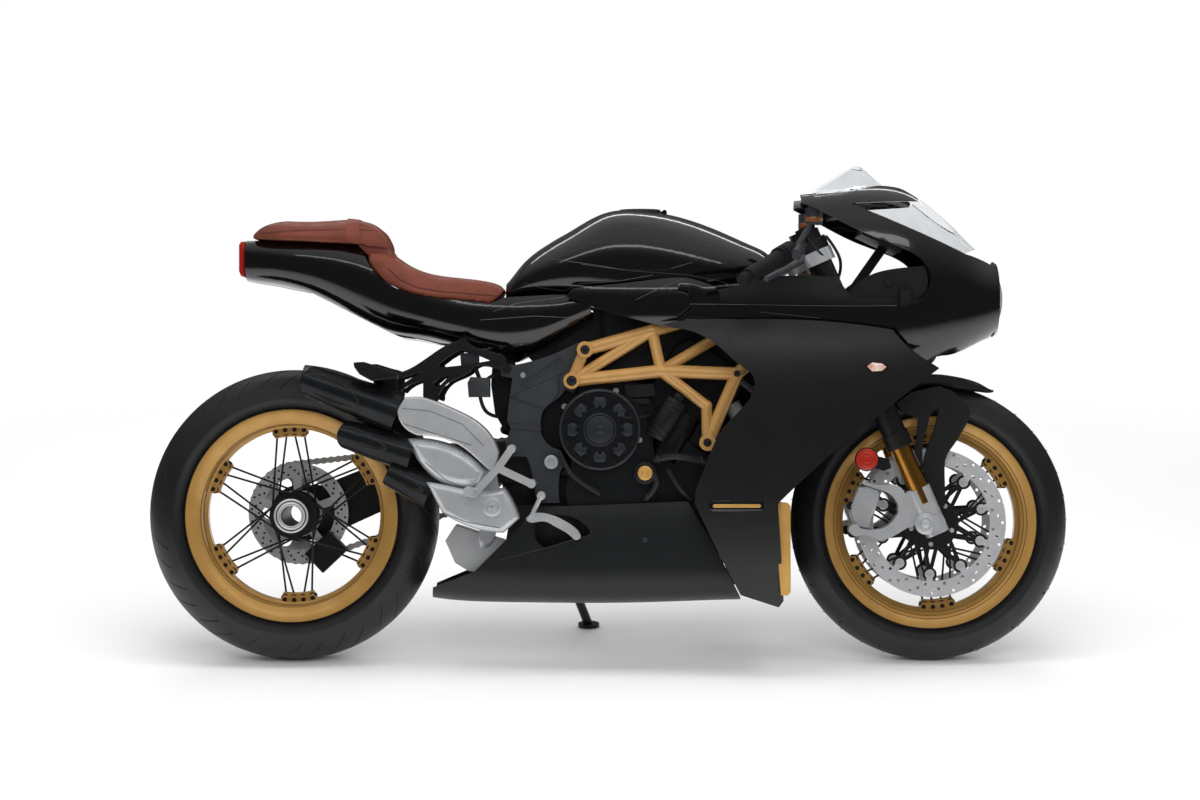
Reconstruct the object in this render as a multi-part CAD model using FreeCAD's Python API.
"""A sport bike with a round headlamp, a tube trellis frame and spoked wheels, in millimetres.

The bike is drawn upright, +X forward, +Y to its left and +Z up, and is then leaned onto its side stand.
Side outlines are written in the pixels of the side view and turned into millimetres by the wheelbase.
"""

import FreeCAD, Part
import math
import os

V = FreeCAD.Vector

# Whole bike
WHEELBASE = 1380.0
LEAN_DEGREES = 10.0
STEERING_LIMIT_DEGREES = 24.0
RAKE_DEGREES = 23.6
FORK_OFFSET = 29.4
GAP = 0.3
RUNNING_GAP = 0.5
OVERRUN = 5.0
FAR = 3000.0
REACH = 750.0

# The side view: where the axles and the ground are in its pixels, and how far off its eye was
REAR_AXLE_PIXEL = 295.0
FRONT_AXLE_PIXEL = 928.0
GROUND_PIXEL = 659.0
CENTRE_PIXELS = (600.0, 400.0)
VIEW_DISTANCE = 6600.0

# Tyres and rims
FRONT_TYRE_RADIUS = 300.0
FRONT_TYRE_WIDTH = 120.0
FRONT_CROWN_RADIUS = 64.0
REAR_TYRE_RADIUS = 315.0
REAR_TYRE_WIDTH = 180.0
REAR_CROWN_RADIUS = 98.0
BEAD_RADIUS = 216.0
FLANGE_HEIGHT = 13.0
FLANGE_THICKNESS = 6.0
FRONT_RIM_WIDTH = 89.0
REAR_RIM_WIDTH = 140.0
WELL_DEPTH = 16.0
RIM_WALL = 5.0
RIM_FACE_FALL = 11.0
RIM_LIP_HEIGHT = 4.0
RIM_SHELF_SHARE = 0.26
RIM_DROP_SHARE = 0.16
RIB_HEIGHT = 8.0
RIB_HALF_WIDTH = 13.0
PAD_COUNT = 6
PAD_HEIGHT = 15.0
PAD_ANGLE = 27.0
PAD_HOLE_RADIUS = 5.0
PAD_HOLE_ANGLE = 6.3
SPOKE_RADIUS = 2.2
SPOKE_HUB_ANGLES = (74.0, 92.0)
HUB_RADIUS = 34.0
HUB_FLANGE_RADIUS = 50.0
HUB_FLANGE_THICKNESS = 9.0
SPOKE_LAYER = 3.2
FRONT_HUB_HALF_WIDTH = 46.0
REAR_HUB_HALF_WIDTH = 62.0
FRONT_PAD_PHASE = 36.0
REAR_PAD_PHASE = 33.0

# Front brake
FRONT_DISC_RADIUS = 160.0
FRONT_DISC_BAND = 34.0
DISC_HOLE_RADIUS = 3.3
DISC_HOLE_INSETS = (7.0, 17.0, 27.0)
DISC_HOLES_AROUND = 20
DISC_THICKNESS = 5.0
FRONT_DISC_OFFSET = 72.0
CARRIER_THICKNESS = 6.0
BOBBIN_COUNT = 10
BOBBIN_RADIUS = 10.0
BOBBIN_CIRCLE_RADIUS = 111.0
BOBBIN_PHASE = 15.7
BOBBIN_ARM_ANGLE = 13.0
CARRIER_INNER_RADIUS = 24.0
CARRIER_RING_RADIUS = 58.0
CARRIER_ARM_WIDTH = 8.0

# Rear brake, sprocket and chain
REAR_DISC_RADIUS = 110.0
REAR_DISC_BAND = 30.0
REAR_DISC_PLACE = 80.0
REAR_SPINDLE_RADIUS = 30.0
REAR_AXLE_BORE_RADIUS = 22.0
CHAIN_PITCH = 15.875
REAR_SPROCKET_TEETH = 43
FRONT_SPROCKET_TEETH = 16
CHAIN_LINE = 133.0
CHAIN_WIDTH = 16.0
CHAIN_HEIGHT = 15.0
CHAIN_WAIST = 10.0
SPROCKET_THICKNESS = 6.0
SPROCKET_TOOTH_GAP = 2.0

# Fork
FORK_LEG_SPREAD = 107.0
INNER_TUBE_RADIUS = 21.5
OUTER_TUBE_RADIUS = 26.5
FORK_LENGTH = 682.0
OUTER_TUBE_START = 178.0
DUST_CAP_RADIUS = 29.0
DUST_CAP_LENGTH = 34.0
LUG_RADIUS = 26.0
LUG_TOP = 82.0
LUG_RING_RADIUS = 24.0
LUG_ARM_SET_BACK = 7.0
AXLE_RADIUS = 12.5
LOWER_YOKE_PLACE = 470.0
UPPER_YOKE_PLACE = 622.0
YOKE_THICKNESS = 28.0
STEM_RADIUS = 16.0
HEAD_TUBE_RADIUS = 30.0
HEAD_CLEARANCE = 6.0

# Trellis frame
FRAME_TUBE_RADIUS = 14.0
FRAME_BRACE_RADIUS = 12.0
FRAME_BOSS_RADIUS = 17.5
NODE_SWELL = 1.07
FRAME_BOSS_LENGTH = 40.0
FRAME_REAR_SPREAD = 134.0
FRAME_MIDDLE_SPREAD = 150.0

# Rear frame plates and swingarm
PLATE_INNER = 92.0
PLATE_OUTER = 118.0
SWINGARM_PIVOT_PIXELS = (551.0, 462.0)
PIVOT_RADIUS = 24.0
SWINGARM_BEAM_INNER = 97.0
SWINGARM_BEAM_OUTER = 121.0
SWINGARM_FRONT_OUTER = 150.0
HUB_CARRIER_RADIUS = 62.0
HUB_CARRIER_INNER = 92.0
HUB_CARRIER_OUTER = 122.0

# Side stand
STAND_PIVOT_PIXELS = (556.0, 548.0)
STAND_PIVOT_SPREAD = 139.0
STAND_FOOT_FORWARD = 70.0
STAND_FOOT_SPREAD = 292.0
STAND_LEG_RADIUS = 10.0
STAND_FOOT_RADIUS = 24.0
STAND_FOOT_THICKNESS = 8.0
STAND_SWING_DEGREES = 98.0

# Bodywork
PANEL_THICKNESS = 4.0
SCREEN_THICKNESS = 3.0
NOSE_HALF_WIDTH = 184.0
FAIRING_TOP_HALF_WIDTH = 186.0
FAIRING_HALF_WIDTH = 232.0
FAIRING_FOOT_HALF_WIDTH = 172.0
BELLY_HALF_WIDTH = 160.0
TANK_HALF_WIDTH = 152.0
STAY_RADIUS = 8.0
TAIL_HALF_WIDTH = 118.0
SEAT_HALF_WIDTH = 112.0
PAD_HALF_WIDTH = 100.0
HEADLAMP_RADIUS = 68.0

RAKE = math.radians(RAKE_DEGREES)
LEAN = math.radians(LEAN_DEGREES)
MM_PER_PIXEL = WHEELBASE / (FRONT_AXLE_PIXEL - REAR_AXLE_PIXEL)
EYE_X = (CENTRE_PIXELS[0] - (REAR_AXLE_PIXEL + FRONT_AXLE_PIXEL) / 2) * MM_PER_PIXEL
EYE_Z = (GROUND_PIXEL - CENTRE_PIXELS[1]) * MM_PER_PIXEL
REAR_AXLE = V(-WHEELBASE / 2, 0, REAR_TYRE_RADIUS)
FRONT_AXLE = V(WHEELBASE / 2, 0, FRONT_TYRE_RADIUS)
STEER_UP = V(-math.sin(RAKE), 0, math.cos(RAKE))
STEER_AHEAD = V(math.cos(RAKE), 0, math.sin(RAKE))
FLANGE_RADIUS = BEAD_RADIUS + FLANGE_HEIGHT
ACROSS = V(0, 1, 0)


# Drawing helpers

def at(pixels, y=0.0):
    """The point at depth y that the side view shows at these pixels."""
    grow = (VIEW_DISTANCE + y) / VIEW_DISTANCE * MM_PER_PIXEL
    return V(EYE_X + (pixels[0] - CENTRE_PIXELS[0]) * grow, y, EYE_Z + (CENTRE_PIXELS[1] - pixels[1]) * grow)


def spline(points):
    """An edge through the points: a line through two, a smooth curve through more."""
    if len(points) == 2:
        return Part.makeLine(points[0], points[1])
    curve = Part.BSplineCurve()
    curve.interpolate(points)
    return curve.toShape()


def closed_wire(points, corners=None):
    """A closed wire. It is smooth between the points whose indices are in corners; None makes every one a corner."""
    if corners is None:
        return Part.makePolygon(points + [points[0]])
    if not corners:
        curve = Part.BSplineCurve()
        curve.interpolate(Points=points, PeriodicFlag=True)
        return Part.Wire([curve.toShape()])
    edges = []
    for first, last in zip(corners, corners[1:] + [corners[0] + len(points)]):
        run = [points[i % len(points)] for i in range(first, last + 1)]
        edges.append(spline(run))
    return Part.Wire(edges)


def slab(pixels, y_from, y_to, corners=None, seen_at=None):
    """A side outline made solid from y_from to y_to. seen_at is the depth at which the side view shows it."""
    depth = y_from if seen_at is None else seen_at
    points = [at(p, depth) for p in pixels]
    points = [V(p.x, y_from, p.z) for p in points]
    face = Part.Face(closed_wire(points, corners))
    return face.extrude(V(0, y_to - y_from, 0))


def both(shape):
    """The shape and its mirror image on the other side, as one compound of separate solids."""
    return Part.makeCompound([shape, mirrored(shape)])


def mirrored(shape):
    return shape.mirror(V(0, 0, 0), ACROSS)


def rod(start, end, radius):
    return Part.makeCylinder(radius, (end - start).Length, start, end - start)


def ball(centre, radius):
    return Part.makeSphere(radius, centre)


def pipe(points, radius):
    """A bent tube: straight rods with a ball at each bend."""
    pieces = [rod(a, b, radius) for a, b in zip(points, points[1:])]
    pieces += [ball(p, radius) for p in points[1:-1]]
    return fused(pieces)


def fused(pieces):
    if len(pieces) == 1:
        return pieces[0]
    whole = pieces[0].fuse(pieces[1:])
    return whole.removeSplitter()


def cylinder_across(centre, radius, y_from, y_to):
    """A cylinder whose axis lies across the bike."""
    return Part.makeCylinder(radius, y_to - y_from, V(centre.x, y_from, centre.z), ACROSS)


def turned(axle, edges):
    """The solid that edges, given in the plane above the axle, sweep round it."""
    return Part.Face(Part.Wire(edges)).revolve(axle, ACROSS, 360)


def turned_polygon(axle, profile):
    """The same for a straight-sided profile of (y, radius) pairs."""
    points = [V(axle.x, y, axle.z + r) for y, r in profile]
    return turned(axle, Part.makePolygon(points + [points[0]]).Edges)


def solid_of(shape):
    """The one solid of a shape, or the shape itself where it has more."""
    return shape.Solids[0] if len(shape.Solids) == 1 else shape


def rounded_section(x, top, belt, bottom, half_width, top_power, bottom_power, count=24):
    """A closed section across the bike: half_width wide at the belt, full below and above it."""
    points = []
    for i in range(count):
        t = 2 * math.pi * i / count - math.pi / 2
        c, s = math.cos(t), math.sin(t)
        power = top_power if s > 0 else bottom_power
        height = (top - belt) if s > 0 else (belt - bottom)
        y = half_width * math.copysign(abs(c) ** (2 / power), c)
        z = belt + height * math.copysign(abs(s) ** (2 / power), s)
        points.append(V(x, y, z))
    return closed_wire(points, [])


def form(stations, reach, shrink=0.0):
    """A smooth body through stations of (pixel x, top, belt and bottom pixels, half-width share, powers)."""
    wires = []
    for px, top, belt, bottom, share, top_power, bottom_power in stations:
        spot = at((px, belt))
        high, low = at((px, top)).z - shrink, at((px, bottom)).z + shrink
        wires.append(rounded_section(spot.x, high, spot.z, low, reach * share - shrink, top_power, bottom_power))
    return Part.makeLoft(wires, True, False)


# Wheels

def tyre(axle, radius, width, crown_radius, rim_width):
    """A tyre with a round crown and bulged walls, open over the rim."""
    shoulder = width * 0.49
    shoulder_radius = radius - crown_radius + math.sqrt(crown_radius ** 2 - shoulder ** 2)
    foot = rim_width / 2 - GAP
    seat = BEAD_RADIUS + GAP
    wall = FLANGE_RADIUS + FLANGE_THICKNESS / 2
    wall_y = (foot + shoulder) / 2 + FLANGE_THICKNESS / 2

    def spot(y, r):
        return V(axle.x, y, axle.z + r)

    edges = [Part.Arc(spot(-shoulder, shoulder_radius), spot(0, radius), spot(shoulder, shoulder_radius)).toShape()]
    for side in (1, -1):
        mid = spot(side * (wall_y + shoulder) / 2 + side * FLANGE_THICKNESS / 2, (wall + shoulder_radius) / 2)
        edges.append(Part.Arc(spot(side * shoulder, shoulder_radius), mid, spot(side * foot, wall)).toShape())
        edges.append(Part.makeLine(spot(side * foot, wall), spot(side * foot, seat)))
    edges.append(Part.makeLine(spot(-foot, seat), spot(foot, seat)))
    return turned(axle, Part.__sortEdges__(edges))


def rim(axle, rim_width, phase):
    """A drop-centre rim with an inner rib, and pads on the rib that take the spokes."""
    inside = rim_width / 2
    out = inside + FLANGE_THICKNESS
    well = BEAD_RADIUS - WELL_DEPTH
    shelf = rim_width * RIM_SHELF_SHARE
    drop = rim_width * RIM_DROP_SHARE
    barrel = well - RIM_WALL
    rib = barrel - RIB_HEIGHT
    half = [
        (drop, well), (shelf, BEAD_RADIUS - RIM_WALL / 2), (inside, BEAD_RADIUS), (inside, FLANGE_RADIUS - RUNNING_GAP),
        (out, FLANGE_RADIUS), (out, FLANGE_RADIUS - RIM_WALL), (out - RIM_FACE_FALL, barrel + RIM_LIP_HEIGHT),
        (out - RIM_FACE_FALL - RIM_WALL, barrel), (RIB_HALF_WIDTH + RIM_WALL, barrel), (RIB_HALF_WIDTH, rib),
    ]
    profile = half + [(-y, r) for y, r in reversed(half)]
    ring = turned_polygon(axle, profile)
    pad_inner = rib - PAD_HEIGHT + RIB_HEIGHT / 2
    pads = []
    for n in range(PAD_COUNT):
        middle = phase + n * 360 / PAD_COUNT
        pads.append(pad_with_holes(axle, middle, pad_inner, barrel + RIM_WALL / 2))
    return fused([ring] + pads)


def pad_with_holes(axle, middle, inner, outer):
    """One spoke pad: a block on the rib with sloped ends and a row of holes across it."""
    wide = math.radians(PAD_ANGLE / 2)
    narrow = wide * 0.8

    def spot(angle, radius, y):
        a = math.radians(middle) + angle
        return V(axle.x + radius * math.cos(a), y, axle.z + radius * math.sin(a))

    y = -RIB_HALF_WIDTH - RIM_WALL / 2
    wire = Part.Wire([
        Part.makeLine(spot(-wide, outer, y), spot(-narrow, inner, y)),
        Part.Arc(spot(-narrow, inner, y), spot(0, inner, y), spot(narrow, inner, y)).toShape(),
        Part.makeLine(spot(narrow, inner, y), spot(wide, outer, y)),
        Part.Arc(spot(wide, outer, y), spot(0, outer, y), spot(-wide, outer, y)).toShape(),
    ])
    block = Part.Face(wire).extrude(V(0, -2 * y, 0))
    radius = inner + PAD_HOLE_RADIUS * 1.9
    for k in (-1.5, -0.5, 0.5, 1.5):
        centre = spot(math.radians(k * PAD_HOLE_ANGLE), radius, 0)
        block = block.cut(cylinder_across(centre, PAD_HOLE_RADIUS, y - OVERRUN, -y + OVERRUN))
    return block


def spokes_and_hub(axle, rim_width, hub_half_width, phase, bore):
    """The hub with two flanges, and tangent spokes from both flanges to the pads."""
    hub = [cylinder_across(axle, HUB_RADIUS, -hub_half_width, hub_half_width)]
    flange_place = hub_half_width - HUB_FLANGE_THICKNESS * 1.5
    for side in (-1, 1):
        hub.append(cylinder_across(axle, HUB_FLANGE_RADIUS, side * flange_place - HUB_FLANGE_THICKNESS / 2,
                                   side * flange_place + HUB_FLANGE_THICKNESS / 2))
    pad_inner = BEAD_RADIUS - WELL_DEPTH - RIM_WALL - RIB_HEIGHT - PAD_HEIGHT + RIB_HEIGHT / 2
    reach = pad_inner - GAP - SPOKE_RADIUS / 4
    for n in range(PAD_COUNT):
        middle = phase + n * 360 / PAD_COUNT
        for k in (-1.5, -0.5, 0.5, 1.5):
            side = 1 if k in (-1.5, 0.5) else -1
            turn = math.copysign(SPOKE_HUB_ANGLES[0] if abs(k) > 1 else SPOKE_HUB_ANGLES[1], k)
            outer = math.radians(middle + k * PAD_HOLE_ANGLE)
            inner = math.radians(middle + turn)
            foot = HUB_FLANGE_RADIUS - 2 * SPOKE_RADIUS
            layer = side * flange_place + math.copysign(SPOKE_LAYER, k)
            start = V(axle.x + foot * math.cos(inner), layer, axle.z + foot * math.sin(inner))
            end = V(axle.x + reach * math.cos(outer), side * RIB_HALF_WIDTH * 0.6,
                    axle.z + reach * math.sin(outer))
            hub.append(rod(start, end, SPOKE_RADIUS))
    return fused(hub).cut(cylinder_across(axle, bore, -FAR, FAR))


def annulus(axle, outer, inner, y_from, y_to):
    return cylinder_across(axle, outer, y_from, y_to).cut(
        cylinder_across(axle, inner, y_from - OVERRUN, y_to + OVERRUN))


def front_disc(side):
    """A floating brake disc, drilled in three rows, with tabs that reach inwards to its bobbins."""
    y = side * FRONT_DISC_OFFSET
    inner = FRONT_DISC_RADIUS - FRONT_DISC_BAND
    low, high = y - DISC_THICKNESS / 2, y + DISC_THICKNESS / 2
    pieces = [annulus(FRONT_AXLE, FRONT_DISC_RADIUS, inner, low, high)]
    for n in range(BOBBIN_COUNT):
        angle = BOBBIN_PHASE + n * 360 / BOBBIN_COUNT
        spot = around(FRONT_AXLE, BOBBIN_CIRCLE_RADIUS, angle)
        reach = around(FRONT_AXLE, inner + BOBBIN_RADIUS / 2, angle)
        pieces.append(cylinder_across(spot, BOBBIN_RADIUS, y - CARRIER_THICKNESS / 2, y + CARRIER_THICKNESS / 2))
        pieces.append(bar_between(spot, reach, BOBBIN_RADIUS * 1.4, low, high))
    holes = []
    for row, inset in enumerate(DISC_HOLE_INSETS):
        for n in range(DISC_HOLES_AROUND):
            angle = (n + row / len(DISC_HOLE_INSETS)) * 360 / DISC_HOLES_AROUND
            spot = around(FRONT_AXLE, FRONT_DISC_RADIUS - inset, angle)
            holes.append(cylinder_across(spot, DISC_HOLE_RADIUS, low - OVERRUN, high + OVERRUN))
    return fused(pieces).cut(Part.makeCompound(holes))


def around(centre, radius, degrees):
    a = math.radians(degrees)
    return V(centre.x + radius * math.cos(a), 0, centre.z + radius * math.sin(a))


def bar_between(start, end, width, y_from, y_to):
    """A flat bar from start to end in the side view."""
    along = V(end.x - start.x, 0, end.z - start.z)
    along.normalize()
    aside = V(-along.z, 0, along.x) * (width / 2)
    points = [V(p.x, y_from, p.z) for p in (start + aside, end + aside, end - aside, start - aside)]
    return Part.Face(Part.makePolygon(points + [points[0]])).extrude(V(0, y_to - y_from, 0))


def disc_carrier(side):
    """The black spider between hub and disc: a ring, and a V of two arms to each bobbin."""
    y = side * FRONT_DISC_OFFSET
    low, high = y - CARRIER_THICKNESS / 2, y + CARRIER_THICKNESS / 2
    pieces = [annulus(FRONT_AXLE, CARRIER_RING_RADIUS, CARRIER_INNER_RADIUS, low, high)]
    for n in range(BOBBIN_COUNT):
        angle = BOBBIN_PHASE + n * 360 / BOBBIN_COUNT
        end = around(FRONT_AXLE, BOBBIN_CIRCLE_RADIUS, angle)
        for turn in (-BOBBIN_ARM_ANGLE, BOBBIN_ARM_ANGLE):
            start = around(FRONT_AXLE, CARRIER_RING_RADIUS - CARRIER_ARM_WIDTH / 2, angle + turn)
            pieces.append(bar_between(start, end, CARRIER_ARM_WIDTH, low, high))
        pieces.append(cylinder_across(end, BOBBIN_RADIUS + RIM_WALL, low, high))
    pieces.append(annulus(FRONT_AXLE, HUB_RADIUS, CARRIER_INNER_RADIUS, min(side * (FRONT_HUB_HALF_WIDTH + GAP), high),
                          max(side * (FRONT_HUB_HALF_WIDTH + GAP), low)))
    whole = fused(pieces)
    room = []
    for n in range(BOBBIN_COUNT):
        angle = BOBBIN_PHASE + n * 360 / BOBBIN_COUNT
        spot = around(FRONT_AXLE, BOBBIN_CIRCLE_RADIUS, angle)
        reach = around(FRONT_AXLE, FRONT_DISC_RADIUS, angle)
        room.append(cylinder_across(spot, BOBBIN_RADIUS + GAP, low - OVERRUN, high + OVERRUN))
        room.append(bar_between(spot, reach, BOBBIN_RADIUS * 1.4 + 2 * GAP, low - OVERRUN, high + OVERRUN))
    band = annulus(FRONT_AXLE, FRONT_DISC_RADIUS, FRONT_DISC_RADIUS - FRONT_DISC_BAND - GAP, low - OVERRUN,
                   high + OVERRUN)
    return biggest(whole.cut(Part.makeCompound(room)).cut(band))


def sprocket(axle, teeth, y, bore, trim):
    """A toothed plate; its tips stop short of the chain's rollers by trim."""
    pitch_radius = CHAIN_PITCH / 2 / math.sin(math.pi / teeth)
    tip = pitch_radius - trim
    root = tip - CHAIN_PITCH * 0.35
    points = []
    for n in range(teeth):
        for part, radius in ((-0.32, root), (-0.12, tip), (0.12, tip), (0.32, root)):
            a = 2 * math.pi * (n + part) / teeth
            points.append(V(axle.x + radius * math.cos(a), y - SPROCKET_THICKNESS / 2, axle.z + radius * math.sin(a)))
    plate = Part.Face(Part.makePolygon(points + [points[0]])).extrude(V(0, SPROCKET_THICKNESS, 0))
    return plate.cut(cylinder_across(axle, bore, y - SPROCKET_THICKNESS, y + SPROCKET_THICKNESS))


FRONT_SPROCKET_PIXELS = (573.0, 452.0)
GROOVE_CLEARANCE = 1.0


def front_sprocket_centre():
    return at(FRONT_SPROCKET_PIXELS)


def drive_chain():
    """The chain as one fixed loop, waisted between its pins, round both sprockets."""
    rear, front = REAR_AXLE, front_sprocket_centre()
    big = CHAIN_PITCH / 2 / math.sin(math.pi / REAR_SPROCKET_TEETH)
    small = CHAIN_PITCH / 2 / math.sin(math.pi / FRONT_SPROCKET_TEETH)
    span = V(front.x - rear.x, 0, front.z - rear.z)
    slope = math.atan2(span.z, span.x)
    tilt = math.acos((big - small) / span.Length)
    run = span.Length * math.sin(tilt)
    lengths = [big * (2 * math.pi - 2 * tilt), run, small * 2 * tilt, run]
    total = sum(lengths)
    links = int(round(total / CHAIN_PITCH / 2)) * 2

    def spot(s, out):
        s = s % total
        if s < lengths[0]:
            a = slope + tilt + s / big
            return V(rear.x + (big + out) * math.cos(a), 0, rear.z + (big + out) * math.sin(a))
        s -= lengths[0]
        if s < lengths[1]:
            a = slope - tilt
            from_point = V(rear.x + (big + out) * math.cos(a), 0, rear.z + (big + out) * math.sin(a))
            return from_point + V(math.cos(slope - tilt + math.pi / 2), 0, math.sin(slope - tilt + math.pi / 2)) * s
        s -= lengths[1]
        if s < lengths[2]:
            a = slope - tilt + s / small
            return V(front.x + (small + out) * math.cos(a), 0, front.z + (small + out) * math.sin(a))
        s -= lengths[2]
        a = slope + tilt
        from_point = V(front.x + (small + out) * math.cos(a), 0, front.z + (small + out) * math.sin(a))
        return from_point + V(math.cos(slope + tilt + math.pi / 2), 0, math.sin(slope + tilt + math.pi / 2)) * s

    y = CHAIN_LINE - CHAIN_WIDTH / 2
    loops = []
    for side in (1, -1):
        points = []
        for n in range(links):
            for part, half in ((0.0, CHAIN_HEIGHT / 2), (0.5, CHAIN_WAIST / 2)):
                p = spot((n + part) * total / links, side * half)
                points.append(V(p.x, y, p.z))
        loops.append(Part.Face(Part.makePolygon(points + [points[0]])).extrude(V(0, CHAIN_WIDTH, 0)))
    band = loops[0].cut(loops[1])
    low = CHAIN_LINE - SPROCKET_THICKNESS / 2 - GROOVE_CLEARANCE
    high = CHAIN_LINE + SPROCKET_THICKNESS / 2 + GROOVE_CLEARANCE
    depth = SPROCKET_TOOTH_GAP - GROOVE_CLEARANCE
    groove = annulus(rear, big + depth, REAR_SPINDLE_RADIUS, low, high)
    groove_front = annulus(front, small + depth, STEM_RADIUS / 2, low, high)
    return band.cut(groove).cut(groove_front)


# Front fork and steering

FORK_FOOT = -24.0
CAP_RADIUS = 22.0
CAP_HEIGHT = 10.0
SPACER_RADIUS = 17.0
SPACER_CLEARANCE = 3.0
LUG_DISC_CLEARANCE = 5.5
YOKE_CLAMP_RADIUS = 36.0
YOKE_BOSS_RADIUS = 34.0
YOKE_WEB = 22.0
HEAD_TUBE_ENDS = (497.0, 598.0)
CLIP_ON_HEIGHT = 26.0
CLIP_ON_CLAMP_RADIUS = 34.0
GRIP_RADIUS = 17.0
BAR_RADIUS = 11.0
BAR_END_RADIUS = 12.5
BAR_INNER = (404.0, 107.0, 897.0)
BAR_OUTER = (272.0, 340.0, 815.0)
GRIP_SHARES = (0.36, 0.94)
BAR_SHARES = (-0.05, 1.03)
FLANGE_SHARE = 0.02
SWITCH_SHARES = (0.18, 0.34)
SWITCH_RADIUS = 22.0
CALIPER_SLOT = 15.0
CALIPER_INNER = 57.0
CALIPER_OUTER = 104.0
CALIPER_PIXELS = [
    (858.0, 487.0), (867.0, 486.5), (879.5, 491.0), (875.8, 510.0), (872.0, 520.0), (870.8, 529.5), (856.0, 526.5),
    (853.5, 520.0), (850.5, 510.0), (852.0, 502.5),
]
CALIPER_CORNERS = [0, 2, 5, 6]
CALIPER_EDGE = 6.0
CALIPER_BRIDGE_RADIUS = 166.0
GUARD_CLEARANCE = 7.0
GUARD_THICKNESS = 3.0
GUARD_HALF_WIDTH = 64.0
GUARD_DROP = 46.0
BLADE_OUTER = 88.0
BLADE_THICKNESS = 5.0
BLADE_EDGE = 2.0
GUARD_STATIONS = [
    (852.0, 396.0, 412.0, 432.0, 0.9, 2.2, 5.0), (866.0, 388.5, 402.0, 420.0, 0.96, 2.2, 5.0),
    (882.0, 382.5, 394.0, 408.0, 1.0, 2.2, 5.0), (900.0, 378.0, 388.0, 397.0, 1.0, 2.2, 5.0),
    (918.7, 375.0, 383.0, 389.0, 1.0, 2.2, 4.0), (936.8, 374.2, 382.0, 387.5, 0.98, 2.2, 4.0),
    (952.0, 376.0, 384.0, 390.0, 0.9, 2.2, 4.0), (967.8, 379.4, 386.5, 392.0, 0.76, 2.2, 3.0),
    (980.7, 384.2, 388.6, 392.4, 0.52, 2.2, 3.0), (993.0, 390.0, 391.0, 392.2, 0.16, 2.2, 2.2),
]
GUARD_ARM_PIXELS = [
    (896.0, 404.0), (912.0, 392.0), (940.0, 386.0), (952.0, 392.0), (958.0, 404.0), (934.0, 409.0), (929.0, 418.0),
    (917.0, 418.0), (902.0, 412.0),
]
FRONT_BLADE_PIXELS = [
    (927.6, 391.5), (939.0, 388.5), (952.0, 390.8), (961.0, 399.0), (967.7, 405.0), (970.0, 411.5), (969.0, 419.0),
    (962.5, 431.0), (954.8, 443.8), (947.0, 455.4), (945.0, 463.0), (945.0, 481.0), (945.5, 498.0), (945.0, 505.0),
    (936.5, 507.0), (931.0, 503.0), (924.0, 489.0), (924.0, 479.0), (922.8, 468.3), (925.0, 454.0), (932.8, 432.0),
    (936.7, 419.0), (938.6, 407.6), (934.7, 401.0),
]
FRONT_BLADE_CORNERS = [0, 5, 10, 14, 18, 22]
REAR_BLADE_PIXELS = [
    (919.0, 408.0), (929.0, 411.0), (929.6, 416.7), (926.0, 432.0), (922.5, 455.4), (923.5, 470.0), (915.0, 452.8),
    (917.0, 429.6),
]
REAR_BLADE_CORNERS = [0, 1, 5, 6]
REFLECTOR_PIXELS = (866.0, 458.0)
REFLECTOR_RADIUS = 26.0
REFLECTOR_THICKNESS = 8.0


def on_leg(t, y=0.0, ahead=0.0):
    """A point t up the fork from the axle's centre."""
    return FRONT_AXLE + STEER_UP * t + STEER_AHEAD * ahead + V(0, y, 0)


def on_stem(t, y=0.0, ahead=0.0):
    """A point t up the steering axis."""
    return on_leg(t, y, ahead - FORK_OFFSET)


def fork_outer_tubes():
    y = -FORK_LEG_SPREAD
    tube = rod(on_leg(OUTER_TUBE_START, y), on_leg(FORK_LENGTH, y), OUTER_TUBE_RADIUS)
    dust_cap = rod(on_leg(OUTER_TUBE_START, y), on_leg(OUTER_TUBE_START + DUST_CAP_LENGTH, y), DUST_CAP_RADIUS)
    top_cap = rod(on_leg(FORK_LENGTH, y), on_leg(FORK_LENGTH + CAP_HEIGHT, y), CAP_RADIUS)
    bore = rod(on_leg(0, y), on_leg(LOWER_YOKE_PLACE, y), INNER_TUBE_RADIUS + GAP)
    return both(fused([tube, dust_cap, top_cap]).cut(bore))


def fork_inner_tubes():
    y = -FORK_LEG_SPREAD
    return both(rod(on_leg(LUG_TOP - DUST_CAP_LENGTH, y), on_leg(LOWER_YOKE_PLACE - GAP, y), INNER_TUBE_RADIUS))


LUG_OUTLINE = [
    (908.6, 491.3), (929.0, 485.0), (938.5, 510.0), (942.8, 516.0), (945.0, 524.0), (939.0, 532.0), (931.5, 533.8),
    (921.5, 527.5), (914.0, 526.3), (902.8, 531.0), (890.0, 538.0), (879.0, 539.8), (869.0, 536.0), (859.0, 536.0),
    (851.8, 534.4), (849.0, 529.0), (854.3, 524.5), (860.0, 528.0), (874.0, 530.0), (884.5, 527.5), (896.0, 517.5),
    (898.5, 512.5), (898.5, 507.5), (892.0, 495.0), (881.0, 490.0), (868.0, 486.0), (862.5, 482.0), (865.0, 479.5),
    (883.0, 485.0), (898.0, 486.0), (905.5, 493.8),
]
LUG_CORNERS = [0, 1, 2, 6, 13, 17, 21, 22, 25, 27, 30]
LUG_SLOT = [(907.8, 503.8), (911.5, 505.0), (914.0, 510.6), (911.0, 511.0)]


def lug_faces():
    """The two depths between which a fork foot lies: clear of the disc, and at its outside."""
    return FRONT_DISC_OFFSET + DISC_THICKNESS / 2 + LUG_DISC_CLEARANCE, FORK_LEG_SPREAD + LUG_RADIUS * 0.8


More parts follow.
